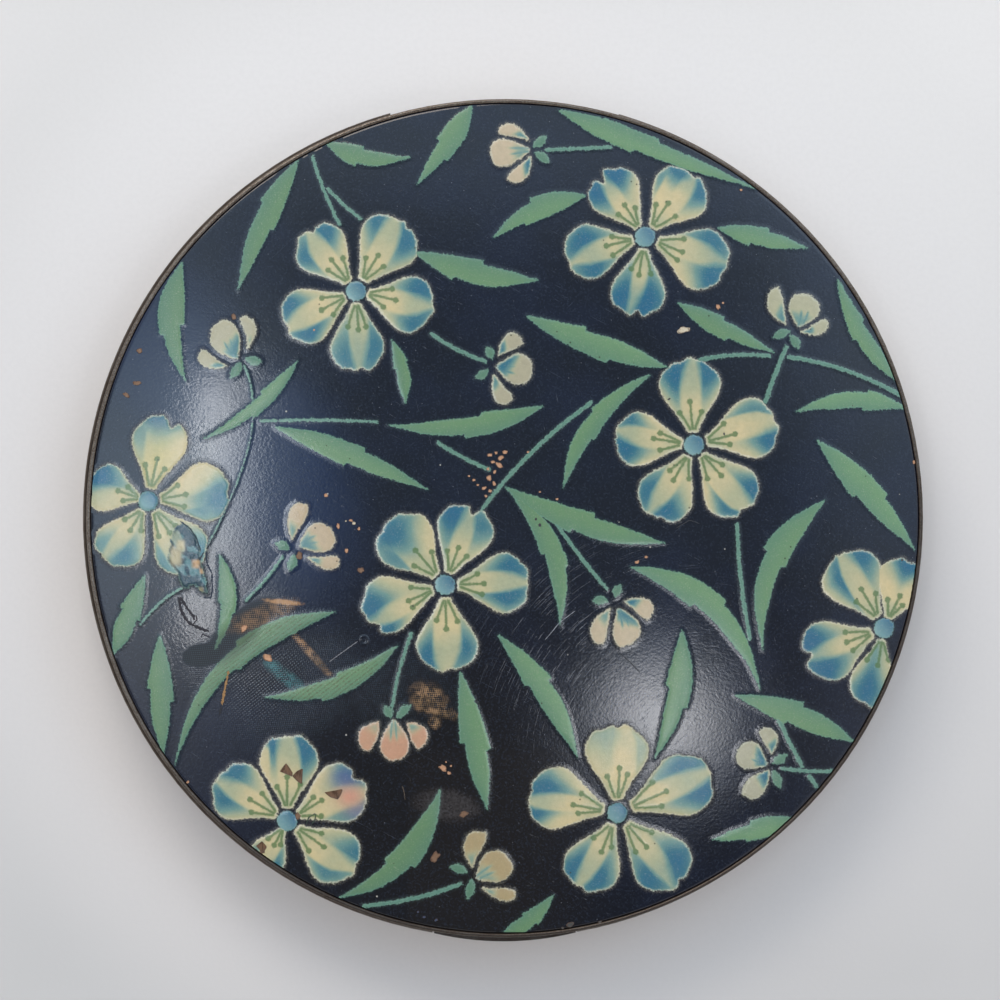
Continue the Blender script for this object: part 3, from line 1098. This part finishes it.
def stroke(points, width, seed):
    """The outline of a stem along a smooth line through points."""
    p = np.asarray(points, float)
    if len(p) == 2:
        q = p[0] + (p[1] - p[0]) * np.linspace(0, 1, 40)[:, None]
    else:
        t = np.linspace(0, 1, 50)[:, None]
        q = (1 - t) ** 2 * p[0] + 2 * t * (1 - t) * (2 * p[1] - 0.5 * (p[0] + p[2])) + t ** 2 * p[2]
    taper = np.ones((len(q), 1))
    taper[0] = taper[-1] = 0.75
    s = across(q) * width / 2 * taper
    return ragged_line(np.vstack([q + s, (q - s)[::-1]]), 0.3, seed)


# A stem: the points it runs through in photo pixels, and its width
STEMS = (
    (((545, 150), (612, 147)), 4.6), (((244, 365), (251, 388), (253, 415)), 2.2),
    (((253, 415), (240, 474), (205, 550)), 1.4), (((487, 362), (458, 350), (430, 333)), 4.4),
    (((787, 345), (775, 375), (765, 403)), 5.2), (((283, 556), (265, 580), (245, 601)), 3.4),
    (((608, 590), (580, 556), (555, 522)), 4.4), (((392, 708), (400, 668), (412, 632)), 4.2),
    (((780, 768), (806, 771), (833, 771)), 4.6), (((462, 883), (415, 898), (362, 906)), 5.0),
    (((312, 155), (324, 190), (340, 225)), 4.0), (((327, 188), (344, 205), (362, 220)), 4.0),
    (((698, 360), (735, 355), (771, 356)), 4.8), (((787, 357), (845, 370), (902, 396)), 4.8),
    (((592, 402), (532, 452), (480, 512)), 4.8), (((437, 442), (462, 457), (490, 470)), 4.2),
    (((260, 421), (320, 420), (378, 422)), 3.4), (((737, 523), (741, 580), (750, 640)), 4.8),
    (((775, 712), (789, 741), (803, 768)), 4.8), (((808, 775), (813, 781), (817, 788)), 4.8),
    (((140, 625), (160, 603), (182, 588)), 2.8),
)

# A bud: its cream, then three lobes (root, tip, fullest width, bow to the left, where it is fullest, blue at the
# root, side the blue keeps to), then two sepals (root, tip)
BUDS = (
    ((198, 182, 154),
     ((529, 141, 498, 130, 13, -4.5, 0.72, 0.8, 1), (530, 150, 490, 154, 28, 0, 0.72, 0.45, 0.3),
      (531, 156, 508, 181, 15, 4, 0.62, 1.0, 1)),
     ((533, 147, 546, 135), (535, 152, 549, 163))),
    ((180, 176, 150),
     ((227, 366, 199, 352, 14, 4, 0.72, 0.8, 1), (237, 359, 219, 321, 30, 2, 0.56, 0.75, -1),
      (247, 349, 243, 316, 13, -5.5, 0.75, 0.5, 0.2)),
     ((245, 358, 262, 362), (241, 362, 230, 378))),
    ((176, 171, 146),
     ((498, 356, 521, 337, 17, 3, 0.78, 0.95, 1), (496, 367, 533, 371, 31, 0, 0.6, 0.95, 1),
      (494, 374, 510, 403, 16, -4, 0.78, 0.8, -0.6)),
     ((492, 359, 486, 347), (488, 370, 475, 378))),
    ((180, 179, 150),
     ((786, 325, 775, 287, 16.5, 4.5, 0.56, 0.7, -1), (799, 327, 803, 293, 31, -3, 0.54, 0.55, 0.4),
      (801, 332, 828, 321, 12.5, -3.5, 0.7, 1.0, 0.5)),
     ((790, 331, 773, 338), (790, 335, 799, 349))),
    ((194, 175, 146),
     ((292, 540, 304, 503, 18, 3, 0.72, 0.55, 0.4), (299, 546, 335, 536, 30, 3, 0.58, 0.7, -0.6),
      (307, 557, 340, 562, 14, -3, 0.78, 0.75, 0.2)),
     ((289, 549, 275, 543), (294, 554, 289, 571))),
    ((196, 180, 152),
     ((611, 608, 598, 645, 17, -4.5, 0.66, 0.6, 0.5), (618, 608, 625, 647, 28, 5, 0.6, 0.8, 1),
      (624, 601, 652, 616, 18, 4, 0.74, 1.0, 0.3)),
     ((608, 601, 592, 601), (615, 597, 621, 585))),
    ((200, 154, 126),
     ((379, 722, 365, 751, 19, -4, 0.52, 0.25, 0), (394, 720, 395, 761, 29, 0, 0.6, 0.3, 0),
      (407, 722, 421, 748, 18, 4.5, 0.58, 0.45, 0)),
     ((391, 718, 384, 706), (397, 718, 411, 705))),
    ((174, 172, 148),
     ((772, 754, 762, 728, 16, -4, 0.6, 0.85, -0.5), (767, 765, 738, 749, 28, 0, 0.62, 0.9, -1),
      (769, 770, 745, 797, 20, 1, 0.6, 1.0, 0.5)),
     ((772, 763, 787, 754), (772, 770, 780, 789))),
    ((176, 158, 119),
     ((472, 868, 482, 831, 20, 5, 0.72, 0.45, -0.6), (476, 878, 511, 860, 32, 1.5, 0.58, 0.35, -0.8),
      (482, 888, 516, 895, 13, -2, 0.7, 0.55, 0)),
     ((467, 872, 450, 867), (472, 879, 467, 899))),
)


def lobe_line(x0, y0, x1, y1, width, bow, full, seed):
    """A round-ended drop: narrow at its root, fullest near its tip."""
    t, mid, side = spine(x0, y0, x1, y1, bow, 60)
    grow = 0.16 + 0.84 * np.sin(0.5 * math.pi * np.clip(t / full, 0, 1)) ** 1.25
    end = np.sqrt(np.clip(1 - (np.clip(t - full, 0, 1) / (1 - full)) ** 2, 0, 1))
    half = (0.5 * width * grow * end * np.clip(t / 0.05, 0, 1) ** 0.5)[:, None] * side
    return ragged_line(smooth_closed(np.vstack([mid + half, (mid - half)[::-1][1:-1]])[::4], 150), 0.4, seed)


def bud(g, k, cream, lobes, sepals):
    for n, (*ends, width, bow, full, blue, keep) in enumerate(lobes):
        def paint(p, sd):
            t, v = local(p, *ends, bow, width, (-9, 9))
            b = blue * ease((0.60 + 0.16 * keep * v - t) / 0.42) * ease((sd + 1.0) / 4.5) * (1 + 0.3 * keep * v)
            if n == 1:
                # two darker folds run up from the root of the broad lobe
                for lean in (-0.28, 0.16):
                    fold = np.exp(-((v - lean * (t + 0.5)) / 0.11) ** 2) * ease((0.64 - t) / 0.3)
                    b = np.maximum(b, 0.75 * fold * min(1.0, 0.4 + blue))
            b = b + 0.14 * (clouds(p, 13, 700 + 10 * k + n) - 0.3)
            w = ease(1 - b * 2.2)[:, None]
            return ramp(np.clip(b, 0, 1.25)) * (1 - w) + np.array(lin(*cream)) * 0.90 * w

        g.shape(lobe_line(*ends, width, bow, full, 500 + 10 * k + n), paint, 0.85, PETAL_HIGH)
    for n, ends in enumerate(sepals):
        q = leaf_line(*ends, 1.0 if n else -1.0, 8.0, 0.52, 0.95, 0.95, 900 + 2 * k + n)
        g.shape(q, np.array(LEAF_DIM), 0.1, LEAF_HIGH)


def foliage():
    for k, leaf in enumerate(LEAVES):
        q = leaf_line(*leaf[:6], *(v / 100 for v in leaf[6:]), 200 + k)
        g = Patch(*(q.min(0) - 9), *(q.max(0) + 9), LEAF_GRID[0])
        g.shape(q, leaf_paint(k, *leaf[:6]), 0.0, LEAF_HIGH)
        g.build("leaf_%d" % (k + 1), *LEAF_GRID[1:])
    for k, (line, width) in enumerate(STEMS):
        q = stroke(line, 0.80 * width, 400 + k)
        g = Patch(*(q.min(0) - 8), *(q.max(0) + 8), STEM_GRID[0])
        g.shape(q, STEM, 0.12, STEM_HIGH)
        g.build("stem_%d" % (k + 1), *STEM_GRID[1:])
    for k, (cream, lobes, sepals) in enumerate(BUDS):
        at = np.array(lobes)[:, :4].reshape(-1, 2)
        g = Patch(*(at.min(0) - 24), *(at.max(0) + 24), BUD_GRID[0])
        bud(g, k, cream, lobes, sepals)
        g.build("bud_%d" % (k + 1), *BUD_GRID[1:])


foliage()


# ---- wear: chips, shards, cracks and the lifted film ----------------------
def blob(cx, cy, rx, ry, tilt, seed, n=18):
    """A small uneven outline about a photo pixel."""
    rng = np.random.default_rng(seed)
    a = around(n)
    f = 1 + 0.22 * rng.normal(0, 1, n)
    f = np.clip(0.6 * f + 0.2 * (np.roll(f, 1) + np.roll(f, -1)), 0.6, 1.5)
    x, y = rx * f * np.cos(a), ry * f * np.sin(a)
    k = math.radians(tilt)
    return np.stack([cx + x * math.cos(k) + y * math.sin(k), cy - x * math.sin(k) + y * math.cos(k)], 1)


def laid(name, verts, faces, rim, paint, material):
    """A mesh of the collected rows that rides on the lid's film."""
    o = mesh_object(name, np.vstack(verts), np.vstack(faces), material, attrs={"rim": np.concatenate(rim)},
                    colours={"paint": np.vstack(paint)})
    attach(o, "lid")


def lifted(xy, lift):
    """Points at that height in mm over the lacquer."""
    return np.column_stack([xy, dome_z(*xy.T) + lift])


def marks(name, items, material, scales=(1.14, 1.0, 0.82, 0.55, 0.25)):
    """One mesh of many small marks. An item is its outline in photo pixels, its colour, and the height in mm of its
    edge and of its middle above the lacquer."""
    verts, faces, rim, paint = [], [], [], []
    start = 0
    for poly, colour, high, mid in items:
        c, n = poly.mean(0), len(poly)
        for f in scales:
            lift = 0.0 if f > 1 else high if f == 1.0 else mid + (high - mid) * f * 0.4
            verts.append(lifted(on_lid(c + (poly - c) * f), lift))
            rim.append(np.full(n, f))
        verts.append(lifted(on_lid([c]), mid))
        rim.append(np.zeros(1))
        inner = n * (len(scales) - 1)
        total = inner + n + 1
        paint.append(np.tile(colour, (total, 1)))
        i = np.arange(n)
        for j in range(0, inner, n):
            faces.append(start + np.stack([j + i, j + n + i, j + n + (i + 1) % n, j + (i + 1) % n], 1))
        faces.append(start + fan(total - 1, inner, n)[:, [1, 0, 3, 2]])
        start += total
    laid(name, verts, faces, rim, paint, material)


COPPER, PRIMER, RUST, DARK = lin(178, 134, 102), lin(192, 180, 156), lin(116, 88, 66), lin(34, 36, 46)
WORN, BLUED = lin(66, 65, 62), lin(54, 68, 92)

# A chip: middle in photo pixels, half lengths, tilt, colour
CHIPS = (
    (490, 455, 2.6, 1.6, 10, COPPER), (496, 453, 1.6, 1.3, 0, COPPER), (501, 458, 3.0, 2.0, 40, COPPER),
    (493, 462, 2.0, 1.5, 0, COPPER), (499, 465, 3.4, 2.0, -30, COPPER), (505, 452, 2.4, 1.8, 0, COPPER),
    (488, 469, 1.4, 1.6, 0, COPPER), (495, 472, 2.2, 1.4, 60, COPPER), (489, 478, 2.0, 2.6, 0, COPPER),
    (494, 484, 1.6, 2.0, 0, COPPER), (484, 488, 2.4, 1.6, 20, COPPER), (490, 491, 1.8, 1.5, 0, COPPER),
    (486, 496, 1.5, 1.2, 0, COPPER), (474, 480, 1.5, 1.2, 0, COPPER), (469, 476, 1.1, 0.9, 0, COPPER),
    (478, 485, 1.2, 1.0, 0, COPPER), (326, 495, 1.8, 1.6, 0, COPPER), (338, 526, 1.4, 2.6, 0, COPPER),
    (346, 521, 1.0, 0.8, 0, PRIMER), (351, 520.5, 1.6, 1.2, 0, COPPER), (354, 523.5, 1.6, 1.3, -40, PRIMER),
    (359, 529, 1.3, 1.6, 0, COPPER), (346.5, 551, 2.0, 2.2, 0, COPPER), (361, 570, 2.4, 2.4, 0, RUST),
    (557, 499, 1.5, 1.1, 0, COPPER), (234, 317, 2.2, 2.8, 0, RUST), (540, 492, 1.1, 0.9, 0, COPPER),
    (637, 562, 2.2, 1.4, 20, COPPER), (646, 557, 1.5, 1.1, 0, COPPER), (718, 307, 1.8, 2.4, 20, COPPER),
    (723, 303, 1.1, 1.0, 0, COPPER), (741, 190, 1.4, 1.1, 0, COPPER), (684, 330, 6.0, 2.9, 8, PRIMER),
    (299, 556, 3.2, 3.4, 0, RUST), (268, 658, 4.2, 3.2, -20, COPPER), (244, 628, 3.6, 2.4, 50, COPPER),
    (443, 768, 3.6, 2.4, -35, COPPER), (449, 773, 1.9, 1.6, 0, COPPER), (451, 766, 1.0, 0.9, 0, COPPER),
    (446, 762, 0.9, 0.8, 0, COPPER), (464, 814, 4.0, 2.6, 10, RUST), (137, 383, 3.4, 1.8, 0, RUST),
    (126, 395, 3.0, 2.0, -30, RUST), (139.5, 351, 2.6, 2.2, 20, RUST), (188, 782, 1.8, 1.2, 30, COPPER),
    (298, 816, 2.6, 3.2, 0, RUST), (435, 857, 3.4, 5.0, -30, RUST), (262, 850, 2.2, 3.4, 20, RUST),
    (314, 330, 1.1, 0.9, 0, COPPER), (914, 462, 1.2, 1.8, 0, COPPER), (528, 452, 1.1, 0.9, 0, COPPER),
    (570, 925, 3.4, 2.2, 20, WORN), (563, 928, 1.6, 1.0, 0, WORN), (600, 922, 1.8, 1.0, 10, WORN),
    (424, 917, 1.6, 1.1, 0, BLUED), (436, 920, 1.8, 1.0, 20, BLUED), (418, 912, 1.1, 0.9, 0, BLUED),
    (902, 560, 0.9, 1.5, 0, WORN), (413, 606, 0.9, 0.9, 0, DARK), (452, 582, 1.2, 1.1, 0, DARK),
    (540, 525, 1.3, 1.6, 0, DARK), (536, 519, 1.0, 1.3, 0, DARK), (669, 399, 1.3, 0.8, 30, DARK),
    (724, 434, 0.9, 1.5, 10, DARK),
)

# A shard of varnish: its corners in photo pixels
SHARDS = (
    ((280, 771.4), (285.9, 763), (289, 767), (292.8, 773), (292, 776.5)),
    ((292.4, 776), (297, 771), (302.8, 768.3), (302, 784.4), (297, 781)),
    ((324.6, 792.4), (342.9, 789), (341, 794), (338, 799.4), (330, 797)),
    ((256, 846), (262, 841), (267, 847), (263, 853)),
)


def wear():
    chips = [(blob(*chip, 40 + k), tone, *CHIP_HIGH) for k, (*chip, tone) in enumerate(CHIPS)]
    marks("bare_chips", chips, CHIP)
    shards = [(spaced(np.array(c, float), 18), lin(96, 70, 50), *SHARD_HIGH) for c in SHARDS]
    marks("varnish_shards", shards, SHARD, (1.03, 1.0, 0.94, 0.6, 0.25))


# A crack or the edge of lifted film: its route in photo pixels, its width, its tone
CRACKS = (
    (((178.6, 597), (180.6, 608), (184.7, 618), (190.8, 624), (199, 628), (209, 632)), 2.6, (32, 28, 34)),
    (((180, 597), (187.8, 609), (194, 617), (195, 620)), 2.4, (34, 30, 36)),
    (((192, 625), (197, 620), (196, 615)), 1.4, (36, 32, 38)),
    (((201, 638), (202.5, 634), (210, 637.5)), 1.3, (36, 34, 42)),
    (((206, 551), (207, 564), (212, 573), (212.4, 590), (211, 598), (203, 597.5)), 1.5, (30, 40, 56)),
    (((180, 521), (190, 528), (196, 537), (201, 551)), 1.3, (32, 48, 58)),
    (((204, 552), (199, 560)), 1.5, (36, 44, 54)), (((329, 662), (344, 651), (358, 641)), 0.8, (112, 112, 116)),
    (((229, 671), (226, 682), (224, 694), (222, 705)), 2.1, (142, 106, 64)),
    (((219, 715), (222, 706)), 1.7, (28, 28, 34)),
    (((306, 824), (309, 817), (316, 813), (315, 820), (311, 825)), 1.2, (40, 56, 44)),
    (((402, 786), (404, 791), (405, 800)), 1.0, (74, 62, 50)),
    (((545, 640), (560, 622), (575, 611)), 0.7, (120, 122, 128)),
    (((620, 653), (632, 664), (640, 673)), 0.8, (30, 30, 36)),
    (((676, 528), (690, 520), (700, 524)), 0.7, (36, 38, 44)),
)


def cracks():
    """Thin raised lines, each a strip with a ridge along its middle."""
    verts, faces, rim, paint = [], [], [], []
    start = 0
    for k, (route, width, tone) in enumerate(CRACKS):
        p = np.asarray(route, float)
        seg = np.r_[0, np.cumsum(np.hypot(*np.diff(p, axis=0).T))]
        n = max(8, int(seg[-1]))
        at = np.linspace(0, seg[-1], n)
        q = np.stack([np.interp(at, seg, p[:, 0]), np.interp(at, seg, p[:, 1])], 1)
        if n > 12:
            q[2:-2] = (q[:-4] + q[1:-3] + q[2:-2] + q[3:-1] + q[4:]) / 5
        rng = np.random.default_rng(k)
        side = across(q)
        q = q + side * rng.normal(0, 0.12 * width, n)[:, None]
        ends = np.clip(np.minimum(at, seg[-1] - at) / 2.5 + 0.3, 0, 1)
        w = width * np.clip(rng.normal(1, 0.28, n), 0.45, 1.6) * ends
        for f, lift in zip((-0.5, 0.0, 0.5), (*CRACK_HIGH, CRACK_HIGH[0])):
            verts.append(lifted(on_lid(q + side * (w * f)[:, None]), lift))
            rim.append(np.full(n, 0.5))
        paint.append(np.tile(lin(*tone), (3 * n, 1)))
        i = np.arange(n - 1)
        for j in (0, n):
            faces.append(start + np.stack([j + i, j + i + 1, j + n + i + 1, j + n + i], 1))
        start += 3 * n
    laid("film_cracks", verts, faces, rim, paint, CHIP)


def blister():
    """A round bubble under the film, with a sunken middle."""
    r = np.array((0.0, 0.16, 0.28, 0.36, 0.44, 0.52, 0.62))
    h = np.array((0.040, 0.026, 0.032, 0.060, 0.064, 0.040, 0.010))
    seg = 40
    a = around(seg)
    c = on_lid([(363.5, 640.3)])[0]
    x, y = c[0] + r[1:, None] * np.cos(a), c[1] + r[1:, None] * np.sin(a)
    v = np.stack([x, y, dome_z(x, y) + h[1:, None]], -1).reshape(-1, 3)
    v = np.vstack([v, [[*c, dome_z(*c) + h[0]]]])
    f = np.vstack([ring_faces(len(r) - 1, seg), fan(len(v) - 1, 0, seg)])
    o = mesh_object("film_bubble", v, f, LACQUER)
    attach(o, "lid")


wear()
cracks()
blister()


# ---- the puff, its satin back and its ribbon -----------------------------
def wavy(a, first, last, seed):
    rng = np.random.default_rng(seed)
    return sum(rng.normal(0, 1) * np.sin(k * a + rng.uniform(0, 6.28)) for k in range(first, last)) / (last - first)


def puff():
    """A round velour cushion: crowned below, with a rounded side that pulls in a little unevenly."""
    seg = 220
    mid_z, half = 0.5 * (PUFF_LOW + PUFF_HIGH), 0.5 * (PUFF_HIGH - PUFF_LOW)
    side = np.linspace(-0.5 * math.pi, 0.5 * math.pi, 15)[1:-1]
    flat = np.linspace(0.4, PUFF_R - half, 26)
    r = np.r_[flat, PUFF_R - half + half * np.cos(side), flat[::-1]][:, None]
    z = np.r_[0 * flat + PUFF_LOW, mid_z + half * np.sin(side), 0 * flat + PUFF_HIGH][:, None]
    a = around(seg)[None]
    w = wavy(a, 2, 14, 11)
    edge = np.clip((r - 20) / 8, 0, 1)
    up = np.where(z > mid_z, 1.0, 0.0)
    rr = r * (1 - 0.004 * edge * (1 + w))
    zz = z + 0.03 * w * edge * (1 - 2 * up) - 0.10 * up * edge + 0.05 * (1 - up) * edge
    o = turned("puff_cushion", rr, zz, VELOUR)
    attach(o, "base")
    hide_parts("puff_pad")


def back_top(r):
    return BACK_HIGH - 0.01 - BACK_CROWN * (r / BACK_R) ** 2


def puff_back():
    """The satin disc on the puff: crowned, gathered at its rolled edge."""
    seg = 336
    a = around(seg)[None]
    inner = np.linspace(0.4, BACK_R - 0.35, 40)
    turn = np.linspace(0, 0.5 * math.pi, 6)[1:]
    roll = 0.5 * (back_top(BACK_R) - PUFF_HIGH)
    r = np.r_[inner, BACK_R - 0.35 + 0.35 * np.sin(turn), BACK_R - 0.35 + 0.35 * np.cos(turn), inner[::-1]][:, None]
    z = np.r_[0 * inner + PUFF_HIGH, PUFF_HIGH + roll * (1 - np.cos(turn)), PUFF_HIGH + roll + roll * np.sin(turn),
              back_top(inner[::-1])][:, None]
    up = np.where(z > PUFF_HIGH + roll, 1.0, 0.0)
    pull = np.clip((r - 15) / 11, 0, 1) ** 2 * np.clip((BACK_R + 0.2 - r) / 1.0, 0, 1)
    gather = 0.5 + 0.5 * np.cos(42 * a + 1.4 * wavy(a, 2, 9, 3))
    zz = z - up * pull * 0.05 * gather + up * 0.012 * wavy(a, 2, 7, 5) * np.clip(r / 10, 0, 1)
    rr = r - 0.10 * np.clip((r - 26) / 1, 0, 1) * gather
    o = turned("puff_back", rr, zz, SATIN)
    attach(o, "base")
    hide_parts("puff_backing")


def ribbon():
    """The grosgrain ribbon across the puff, sewn down at both ends."""
    nx, ny = 120, 14
    t, s = np.linspace(-1, 1, nx)[:, None], np.linspace(-1, 1, ny)[None]
    x = RIBBON_HALF * t
    lay = back_top(np.hypot(x, RIBBON_W / 2 * s)) + 0.015
    arch = BACK_HIGH + RIBBON_RISE * (1 - t * t) - 0.04 * s * s
    k = ease((np.abs(t) - 0.72) / 0.24)
    low = arch * (1 - k) + lay * k
    half = RIBBON_W / 2 - 0.03 - 0.05 * np.abs(np.sin(9 * t))
    thick = RIBBON_T * (1 - 0.45 * np.abs(s) ** 6) - 0.02
    ribs = 0.006 * np.sin(2 * math.pi * x / 0.5)
    v = np.vstack([np.stack([x + 0 * s, half * s, z], -1).reshape(-1, 3) for z in (low + thick + ribs, low)])
    n = nx * ny
    c = (np.arange(nx - 1)[:, None] * ny + np.arange(ny - 1)[None]).ravel()
    f = [np.stack([c, c + ny, c + ny + 1, c + 1], 1), n + np.stack([c, c + 1, c + ny + 1, c + ny], 1)]
    # the four edges join the upper side to the lower one
    e, g = np.arange(nx - 1) * ny, np.arange(ny - 1)
    f.append(np.stack([e, e + n, e + ny + n, e + ny], 1))
    e = e + ny - 1
    f.append(np.stack([e, e + ny, e + ny + n, e + n], 1))
    f.append(np.stack([g, g + 1, g + 1 + n, g + n], 1))
    g = g + (nx - 1) * ny
    f.append(np.stack([g, g + n, g + 1 + n, g + 1], 1))
    o = mesh_object("puff_band", v, np.vstack(f), RIBBON)
    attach(o, "base")
    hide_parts("puff_ribbon")
    # a row of stitches holds each end
    rows, faces = [], []
    turn = around(6)
    for side in (-1, 1):
        for y in np.linspace(-3.3, 3.3, 9):
            cx = side * (RIBBON_HALF - 1.2)
            z0 = float(back_top(abs(cx))) + RIBBON_T + 0.01
            start = len(rows)
            for u in np.linspace(-0.33, 0.33, 6):
                d = 0.045 * math.sqrt(max(0.02, 1 - (u / 0.36) ** 2))
                for q in turn:
                    rows.append((cx + d * math.cos(q), y + u, z0 + 0.03 * (1 - (u / 0.33) ** 2) + d * math.sin(q)))
            faces.append(ring_faces(6, 6) + start)
    o = mesh_object("puff_stitches", rows, np.vstack(faces), RIBBON)
    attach(o, "base")


puff()
puff_back()
ribbon()


def floor():
    t = new_material("paper_floor")
    p = t.pos()
    x, y, _ = t.xyz(p)
    fade = t.step(y, -0.047, 0.047, kind="LINEAR")
    near = t.mix(fade, lin(224, 220, 218), lin(240, 239, 239))
    outer = t.mix(fade, lin(198, 198, 198), lin(220, 220, 220))
    col = t.mix(t.step(t.far(x, y), 0.045, 0.066), near, outer)
    right = t.mix(fade, lin(202, 201, 201), lin(238, 238, 238))
    col = t.mix(t.mul(t.step(x, 0.0, 0.05), 0.4), col, right)
    grain = t.noise(p, 0.5, 3.0)
    col = t.over(col, (200, 199, 199), t.step(grain, 0.35, 0.7, 0.0, 0.06))
    col = t.over(col, (226, 224, 225), t.step(t.noise(p, 30.0, 2.0), 0.4, 0.7, 0.0, 0.10))
    col = t.over(col, (150, 148, 148), t.specks(p, 9.0, 0, (0.90, 0.92), 0.022, 0.012))
    mat = t.shader(color=col, rough=0.85, normal=t.bump(grain, 0.01), spec=0.2)
    n = 24
    g = np.linspace(-FLOOR_HALF, FLOOR_HALF, n)
    x, y = (q.ravel() for q in np.meshgrid(g, g))
    c = np.arange((n - 1) * n).reshape(n - 1, n)[:, :-1].ravel()
    o = mesh_object("paper", np.column_stack([x, y, 0 * x]), np.stack([c, c + 1, c + n + 1, c + n], 1), mat)


floor()


# ---- light ---------------------------------------------------------------
def softbox(name, place, aim, wide, tall, radiance, colour=(1, 1, 1)):
    """A soft light of that radiance and size, place and aim in mm."""
    data = bpy.data.lights.new(name, "AREA")
    data.shape = "RECTANGLE"
    data.size, data.size_y = wide * MM, tall * MM
    data.energy = radiance * math.pi * wide * tall * MM * MM
    data.color = colour
    o = bpy.data.objects.new(name, data)
    scene.collection.objects.link(o)
    o.location = Vector(place) * MM
    # the light's own Y runs along the object's Y, so a tall light is tall in the lid's mirror image
    back = (Vector(place) - Vector(aim)).normalized()
    wide_way = Vector((0, 1, 0)).cross(back).normalized()
    o.rotation_mode = "QUATERNION"
    o.rotation_quaternion = Matrix((wide_way, back.cross(wide_way), back)).transposed().to_quaternion()


def mirrored(px, size, away=WINDOW_FAR):
    """Where a light has to hang, and how large it is in mm, to be seen at photo pixel px in the polished dome."""
    x, y = on_lid([px])[0]
    p = np.array((x, y, float(dome_z(x, y))))
    n = p - np.array((0, 0, DOME_Z))
    n /= np.linalg.norm(n)
    v = EYE - p
    far = np.linalg.norm(v)
    v /= far
    out = 2 * (v @ n) * n - v
    spread = 1 + 2 * away / LACQUER_R + away / far
    return p + out * away, p, size[0] * PX * spread, size[1] * PX * spread


softbox("key", (-230, 620, 660), (0, 0, 12), 520, 380, 4.4, (1.13, 1.0, 0.86))
for name, px, size, radiance, tint in (
    ("window_upper", (211, 417), (20, 76), 13.0, (0.98, 0.99, 1.0)),
    ("window_middle", (209, 513), (22, 114), 9.0, (0.96, 0.98, 1.0)),
    ("window_lower", (200, 606), (25, 70), 10.0, (0.98, 0.98, 1.0)),
    ("window_side", (237, 492), (26, 270), 4.2, (0.95, 0.98, 1.0)),
):
    place, aim, wide, tall = mirrored(px, size)
    softbox(name, place, aim, wide, tall, radiance, tint)


def world():
    """A dim room whose ceiling is what the polished lid mirrors: brighter towards the top and both sides, with a
    broad window glow on the left and a soft lamp low on the right. u and v are the slopes of the view upwards."""
    w = bpy.data.worlds.new("studio")
    scene.world = w
    t = Tree(w, "OutputWorld")
    x, y, z = t.xyz(t.node("TexCoord").outputs["Generated"])
    up = t.most(z, 0.2)
    u, v = t.math("DIVIDE", x, up), t.math("DIVIDE", y, up)

    def glow(cu, cv, su, sv, peak):
        du, dv = t.mul(t.sub(u, cu), 1 / su), t.mul(t.sub(v, cv), 1 / sv)
        return t.mul(t.math("EXPONENT", t.mul(t.add(t.mul(du, du), t.mul(dv, dv)), -0.5)), peak)

    corner = t.mul(t.step(u, 0.20, 0.36), t.step(v, 0.0, 0.2, 0.0, 0.40))
    level = t.add(t.step(v, -0.16, 0.0, 0.17, 0.35), t.step(v, 0.20, 0.37, 0.0, 0.64),
                  t.step(u, 0.30, 0.44, 0.0, 0.45), corner,
                  glow(-0.30, 0.0, 0.080, 0.17, 1.9), glow(-0.17, 0.03, 0.036, 0.11, 0.9),
                  glow(-0.226, 0.06, 0.020, 0.08, 1.5))
    lamp = t.add(glow(0.193, -0.172, 0.027, 0.027, 4.6), glow(0.217, -0.203, 0.034, 0.034, 7.2),
                 glow(0.208, -0.197, 0.050, 0.050, 1.5))
    cool = t.mix(t.step(v, -0.2, 0.05), (0.91, 1.0, 1.15), (0.78, 1.0, 1.25))
    cool = t.mix(t.step(lamp, 1.5, 5.0), cool, (0.97, 0.99, 1.04))
    away = t.step(z, 0.80, 0.60)
    strength = t.add(t.mul(t.add(level, lamp), t.sub(1.0, away)), t.mul(away, 0.885))
    bg = t.node("Background", {"Color": t.mix(away, cool, (1.08, 1.0, 0.925)), "Strength": strength})
    t.t.links.new(bg.outputs[0], t.out.inputs["Surface"])


world()
